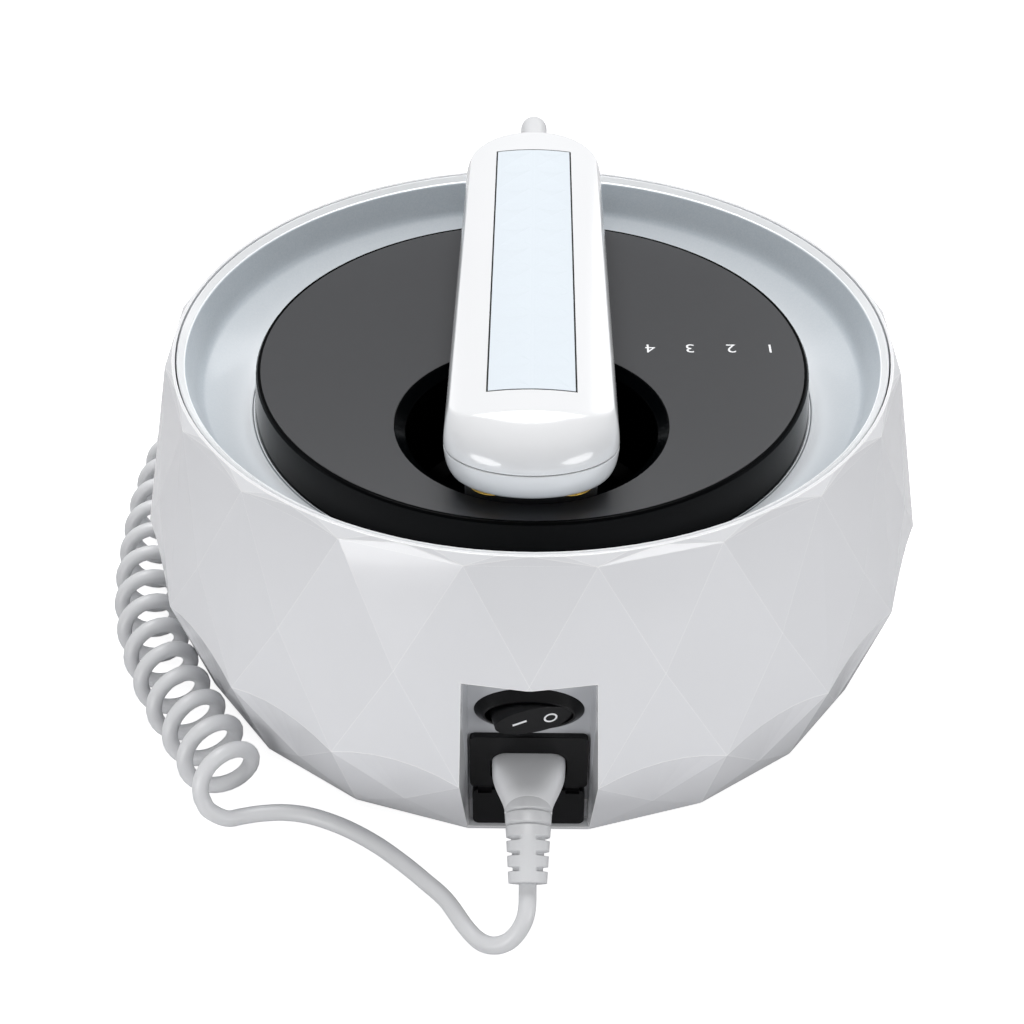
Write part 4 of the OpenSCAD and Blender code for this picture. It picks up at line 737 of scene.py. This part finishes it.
def inlay_pyramids():
    """Field of low square pyramids. A node tree repeats one by columns and rows, lays the field
    over the crown, and makes it a plain mesh."""
    tree = bpy.data.node_groups.new("inlay_pyramid_field", "GeometryNodeTree")
    made = {}
    for name, kind, value in (("Columns", "Int", INLAY_COLUMNS), ("Rows", "Int", INLAY_ROWS),
                              ("Cell Width", "Float", (INLAY_W - 2 * INLAY_BORDER) / INLAY_COLUMNS * MM),
                              ("Cell Length", "Float", (INLAY_L - 2 * INLAY_BORDER) / INLAY_ROWS * MM),
                              ("Rise", "Float", INLAY_RISE * MM), ("Crown Radius", "Float", CROWN_R * MM),
                              ("Finish", "Material", INLAY_PEARL)):
        made[name] = (tree.interface.new_socket(name, in_out="INPUT", socket_type="NodeSocket" + kind), value)
    tree.interface.new_socket("Geometry", in_out="OUTPUT", socket_type="NodeSocketGeometry")
    given = tree.nodes.new("NodeGroupInput").outputs

    def number(operation, a, b=0.0):
        return put(tree, "ShaderNodeMath", {"operation": operation}, _0=a, _1=b).outputs[0]

    field_w = number("MULTIPLY", given["Cell Width"], number("SUBTRACT", given["Columns"], 1.0))
    field_l = number("MULTIPLY", given["Cell Length"], number("SUBTRACT", given["Rows"], 1.0))
    spots = put(tree, "GeometryNodeMeshGrid", Size_X=field_w, Size_Y=field_l,
                Vertices_X=given["Columns"], Vertices_Y=given["Rows"])
    # a four-sided cone, turned so that its square base lies along the bar
    cone = put(tree, "GeometryNodeMeshCone", Vertices=4, Side_Segments=6, Radius_Top=0.0,
               Radius_Bottom=math.sqrt(0.5), Depth=1.0)
    square = put(tree, "GeometryNodeTransform", Geometry=cone.outputs["Mesh"], Rotation=(0, 0, math.pi / 4))
    size = put(tree, "ShaderNodeCombineXYZ", X=given["Cell Width"], Y=given["Cell Length"], Z=given["Rise"])
    cell = put(tree, "GeometryNodeTransform", Geometry=square.outputs[0], Scale=size.outputs[0])
    field = put(tree, "GeometryNodeInstanceOnPoints", Points=spots.outputs["Mesh"], Instance=cell.outputs[0])
    real = put(tree, "GeometryNodeRealizeInstances", Geometry=field.outputs[0])
    # height of the crown at each point's distance from the middle
    across = put(tree, "ShaderNodeSeparateXYZ", Vector=put(tree, "GeometryNodeInputPosition").outputs[0])
    left = number("SUBTRACT", number("POWER", given["Crown Radius"], 2.0),
                  number("POWER", number("ABSOLUTE", across.outputs["X"]), 2.0))
    drop = number("SUBTRACT", number("SQRT", left), given["Crown Radius"])
    bent = put(tree, "GeometryNodeSetPosition", Geometry=real.outputs[0],
               Offset=put(tree, "ShaderNodeCombineXYZ", Z=drop).outputs[0])
    painted = put(tree, "GeometryNodeSetMaterial", Geometry=bent.outputs[0], Material=given["Finish"])
    tree.links.new(painted.outputs[0], tree.nodes.new("NodeGroupOutput").inputs[0])

    holder = bpy.data.objects.new("inlay_field_maker", bpy.data.meshes.new("inlay_field_maker"))
    bpy.context.collection.objects.link(holder)
    maker = holder.modifiers.new("pyramids", "NODES")
    maker.node_group = tree
    for socket, value in made.values():
        maker[socket.identifier] = value
    bpy.context.view_layer.update()
    mesh = bpy.data.meshes.new_from_object(holder.evaluated_get(bpy.context.evaluated_depsgraph_get()))
    holder.modifiers.remove(maker)
    bpy.data.objects.remove(holder)
    mesh.name = "inlay_pyramids"
    middle = Vector((0, INLAY_BACK - NOSE_Y + INLAY_L / 2, crown(0) - 0.02)) * MM
    mesh.transform(Matrix.Translation(middle))
    mesh.polygons.foreach_set("use_smooth", [False] * len(mesh.polygons))
    piece = bpy.data.objects.new("inlay_pyramids", mesh)
    bpy.context.collection.objects.link(piece)
    return piece


ELECTRODE_PITCH, RING_R, RING_WIRE, RING_Z = 18.8, 6.2, 0.38, 88


def contact_rings(around=56, fine=10):
    """Thin gold ring round each electrode under the head."""
    wire = [2 * math.pi * j / fine for j in range(fine)]
    verts, faces = [], []
    for side in (-1, 1):
        for end in (-1, 1):
            x, y = side * ELECTRODE_PITCH / 2, end * ELECTRODE_PITCH / 2 - HEAD_Y
            rings = []
            for i in range(around):
                a = 2 * math.pi * i / around
                rings.append([(x + (RING_R + RING_WIRE * math.cos(b)) * math.cos(a),
                               y + (RING_R + RING_WIRE * math.cos(b)) * math.sin(a),
                               RING_Z + RING_WIRE * math.sin(b)) for b in wire])
            points, skin = hoop(rings)
            faces += [tuple(len(verts) + k for k in face) for face in skin]
            verts += points
    piece = mesh_piece("contact_rings", verts, faces)
    face_outwards(piece)
    return piece


settle(handset_top(), "handset", GLOSS_HANDSET, "handset_white", "handset_top_cover")
settle(handset_lower(), "handset", GLOSS_HANDSET, "handset_white", "handset_lower_cover")
settle(handset_seam(), "handset", SWITCH_BLACK, "black_plastic")
settle(contact_rings(), "handset", GOLD_PLATE, "electrode_gold")
# painted shade: a black strip darkens the inlay's groove
settle(inlay_groove_painted_shade(), "handset", SWITCH_BLACK, "black_plastic")
settle(inlay_plate(), "handset", INLAY_PEARL, "inlay_pearl", "handset_inlay")
settle(inlay_pyramids(), "handset", INLAY_PEARL, "inlay_pearl")


# ---------------------------------------------------------------- bowl

BOWL_FLOOR_Z, GUTTER_Z = 72.2, 81.8
DISC_R, GUTTER_R, LIP_IN_R = 77.3, 91.2, 94.8


def bowl_profile(rise):
    """Gutter, hollow corner and leaning wall in section, lifted off the solid by rise."""
    # the gutter's floor starts level beside the disc and steepens towards the wall
    line = []
    for i in range(24):
        f = 0.99 * i / 23 - 0.04
        line.append((DISC_R + 1 + (GUTTER_R - DISC_R - 1) * f,
                     BOWL_FLOOR_Z + (GUTTER_Z - BOWL_FLOOR_Z) * max(0, f) ** 1.4))
    wall = [(GUTTER_R + (LIP_IN_R - GUTTER_R) * f, GUTTER_Z + (LIP_Z - GUTTER_Z) * f)
            for f in (0.08, 0.3, 0.6, 0.9, 0.985)]
    lift = rise * 0.7
    return [(r - lift, z + lift) for r, z in line + wall]


SKIN_PROUD, SKIN_SUNK = 0.16, -0.3


def bowl_skin(around=200):
    """Lacquer skin over the gutter and wall: one smooth turned surface in place of their short steps."""
    section = bowl_profile(SKIN_PROUD) + list(reversed(bowl_profile(SKIN_SUNK)))
    rings = []
    for i in range(around):
        a = 2 * math.pi * i / around
        rings.append([(r * math.cos(a), r * math.sin(a), z) for r, z in section])
    piece = mesh_piece("bowl_lacquer_skin", *hoop(rings))
    face_outwards(piece)
    return piece


settle(bowl_skin(), "base", BOWL_SILVER, "bowl_silver")


# ---------------------------------------------------------------- prints

def print_mesh(name, text, size_mm, thick_mm, place):
    """Flat printed figure, turned into a mesh and set in place."""
    letters = bpy.data.curves.new(name, "FONT")
    letters.body = text
    letters.size = size_mm * MM
    letters.align_x, letters.align_y = "CENTER", "CENTER"
    letters.extrude = thick_mm * MM / 2
    holder = bpy.data.objects.new(name + "_curve", letters)
    bpy.context.collection.objects.link(holder)
    bpy.context.view_layer.update()
    mesh = bpy.data.meshes.new_from_object(holder.evaluated_get(bpy.context.evaluated_depsgraph_get()))
    bpy.data.objects.remove(holder)
    mesh.transform(place)
    mesh.name = name
    piece = bpy.data.objects.new(name, mesh)
    bpy.context.collection.objects.link(piece)
    return piece


PANEL_TOP = 84.6
FIGURE_SIZE, INK_THICK = 6, 0.04
FIGURES = {"1": (66.2, 4.4), "2": (55.4, 4.3), "3": (43.9, 4.2), "4": (32.8, 4)}
# the figures read from the side away from the inlet
for figure, (x, y) in FIGURES.items():
    place = Matrix.Translation(Vector((x, y, PANEL_TOP)) * MM) @ Matrix.Rotation(math.pi, 4, "Z")
    settle(print_mesh("level_figure_" + figure, figure, FIGURE_SIZE, INK_THICK, place),
           "base", INK_WHITE, "lamp_clear")


ROCKER_PIVOT = Vector((0, -96.25, 42.2))
ROCKER_FACE, ROCKER_REST = 4.4, math.radians(15)


def switch_marks():
    """White bar and ring, printed on the flat face of the rocker."""
    turn = Matrix.Rotation(ROCKER_REST, 4, "Z")
    lift = ROCKER_FACE + 0.03

    def on_face(along, z):
        return ROCKER_PIVOT + turn @ Vector((along, -lift, z))

    bar_x, bar_w, bar_h, lean = -3.6, 3.6, 0.62, math.radians(12)
    bar = []
    for x, z in ((-1, -1), (1, -1), (1, 1), (-1, 1)):
        along, across = x * bar_w / 2, z * bar_h / 2
        bar.append(on_face(bar_x + along * math.cos(lean) - across * math.sin(lean),
                           along * math.sin(lean) + across * math.cos(lean)))
    settle(mesh_piece("switch_bar_mark", bar, [(0, 1, 2, 3)], smooth=False),
           "rocker", INK_WHITE, "lamp_clear")
    ring_x, ring_w, ring_h, line, n = 4.3, 3.5, 2.9, 0.5, 40
    verts, faces = [], []
    for j in range(n):
        a = 2 * math.pi * j / n
        for w, h in ((ring_w, ring_h), (ring_w - 2 * line, ring_h - 2 * line)):
            verts.append(on_face(ring_x + w / 2 * math.cos(a), h / 2 * math.sin(a)))
        k = 2 * ((j + 1) % n)
        faces.append((2 * j, k, k + 1, 2 * j + 1))
    settle(mesh_piece("switch_ring_mark", verts, faces, smooth=False),
           "rocker", INK_WHITE, "lamp_clear")


switch_marks()


# ---------------------------------------------------------------- studio

PAPER_HALF = 6000
PAPER_GLOW, ROOM_LIGHT = 0.88, 0.3


def studio():
    """White paper under a soft room light, with two low softboxes before the facets, a large one
    overhead and two panels behind."""
    corners = [(x * PAPER_HALF, y * PAPER_HALF, 0) for x, y in ((-1, -1), (1, -1), (1, 1), (-1, 1))]
    floor = mesh_piece("studio_floor", corners, [(0, 1, 2, 3)], smooth=False)
    material, tree = new_material("white_studio_paper")
    rays = put(tree, "ShaderNodeLightPath")
    seen = put(tree, "ShaderNodeMath", {"operation": "MAXIMUM"}, _0=rays.outputs["Is Camera Ray"],
               _1=rays.outputs["Is Transmission Ray"])
    glow = put(tree, "ShaderNodeMath", {"operation": "MULTIPLY"}, _0=seen.outputs[0], _1=PAPER_GLOW)
    paper = put(tree, "ShaderNodeBsdfPrincipled", Base_Color=linear("#C4C4C6"), Roughness=0.9,
                Emission_Color=(1, 1, 1, 1), Emission_Strength=glow.outputs[0])
    close_surface(tree, paper)
    dress(floor, material)

    world = bpy.data.worlds.new("soft_room")
    world.use_nodes = True
    bpy.context.scene.world = world
    tree = world.node_tree
    tree.nodes.clear()
    rays = put(tree, "ShaderNodeLightPath")
    strength = put(tree, "ShaderNodeMapRange", Value=rays.outputs["Is Camera Ray"],
                   To_Min=ROOM_LIGHT, To_Max=1.0)
    back = put(tree, "ShaderNodeBackground", Color=(1, 1, 1, 1), Strength=strength.outputs[0])
    out = tree.nodes.new("ShaderNodeOutputWorld")
    tree.links.new(back.outputs[0], out.inputs["Surface"])

    def softbox(name, where, width, height, power, aim=(0, 0, 0.06)):
        """Oval area light, turned to its aim and out of the camera's sight."""
        light = bpy.data.lights.new(name, "AREA")
        light.shape, light.size, light.size_y, light.energy = "ELLIPSE", width, height, power
        lamp = bpy.data.objects.new(name, light)
        lamp.location = where
        lamp.rotation_euler = (Vector(aim) - Vector(where)).to_track_quat("-Z", "Y").to_euler()
        lamp.visible_camera = False
        bpy.context.collection.objects.link(lamp)

    softbox("softbox_left", (-0.22, -0.31, 0.07), 0.2, 0.11, 0.3, aim=(-0.05, -0.05, 0.05))
    softbox("softbox_right", (0.22, -0.3, 0.1), 0.2, 0.11, 0.28, aim=(0.05, -0.05, 0.05))
    softbox("softbox_top", (-0.03, 0.45, 1.35), 1.1, 0.9, 19)
    softbox("panel_back_right", (0.9, 1.6, 0.9), 0.9, 1.0, 3, aim=(0, 0, 0.08))
    softbox("panel_back_left", (-1.0, 1.6, 0.9), 0.8, 0.8, 1.2, aim=(0, 0, 0.08))


studio()
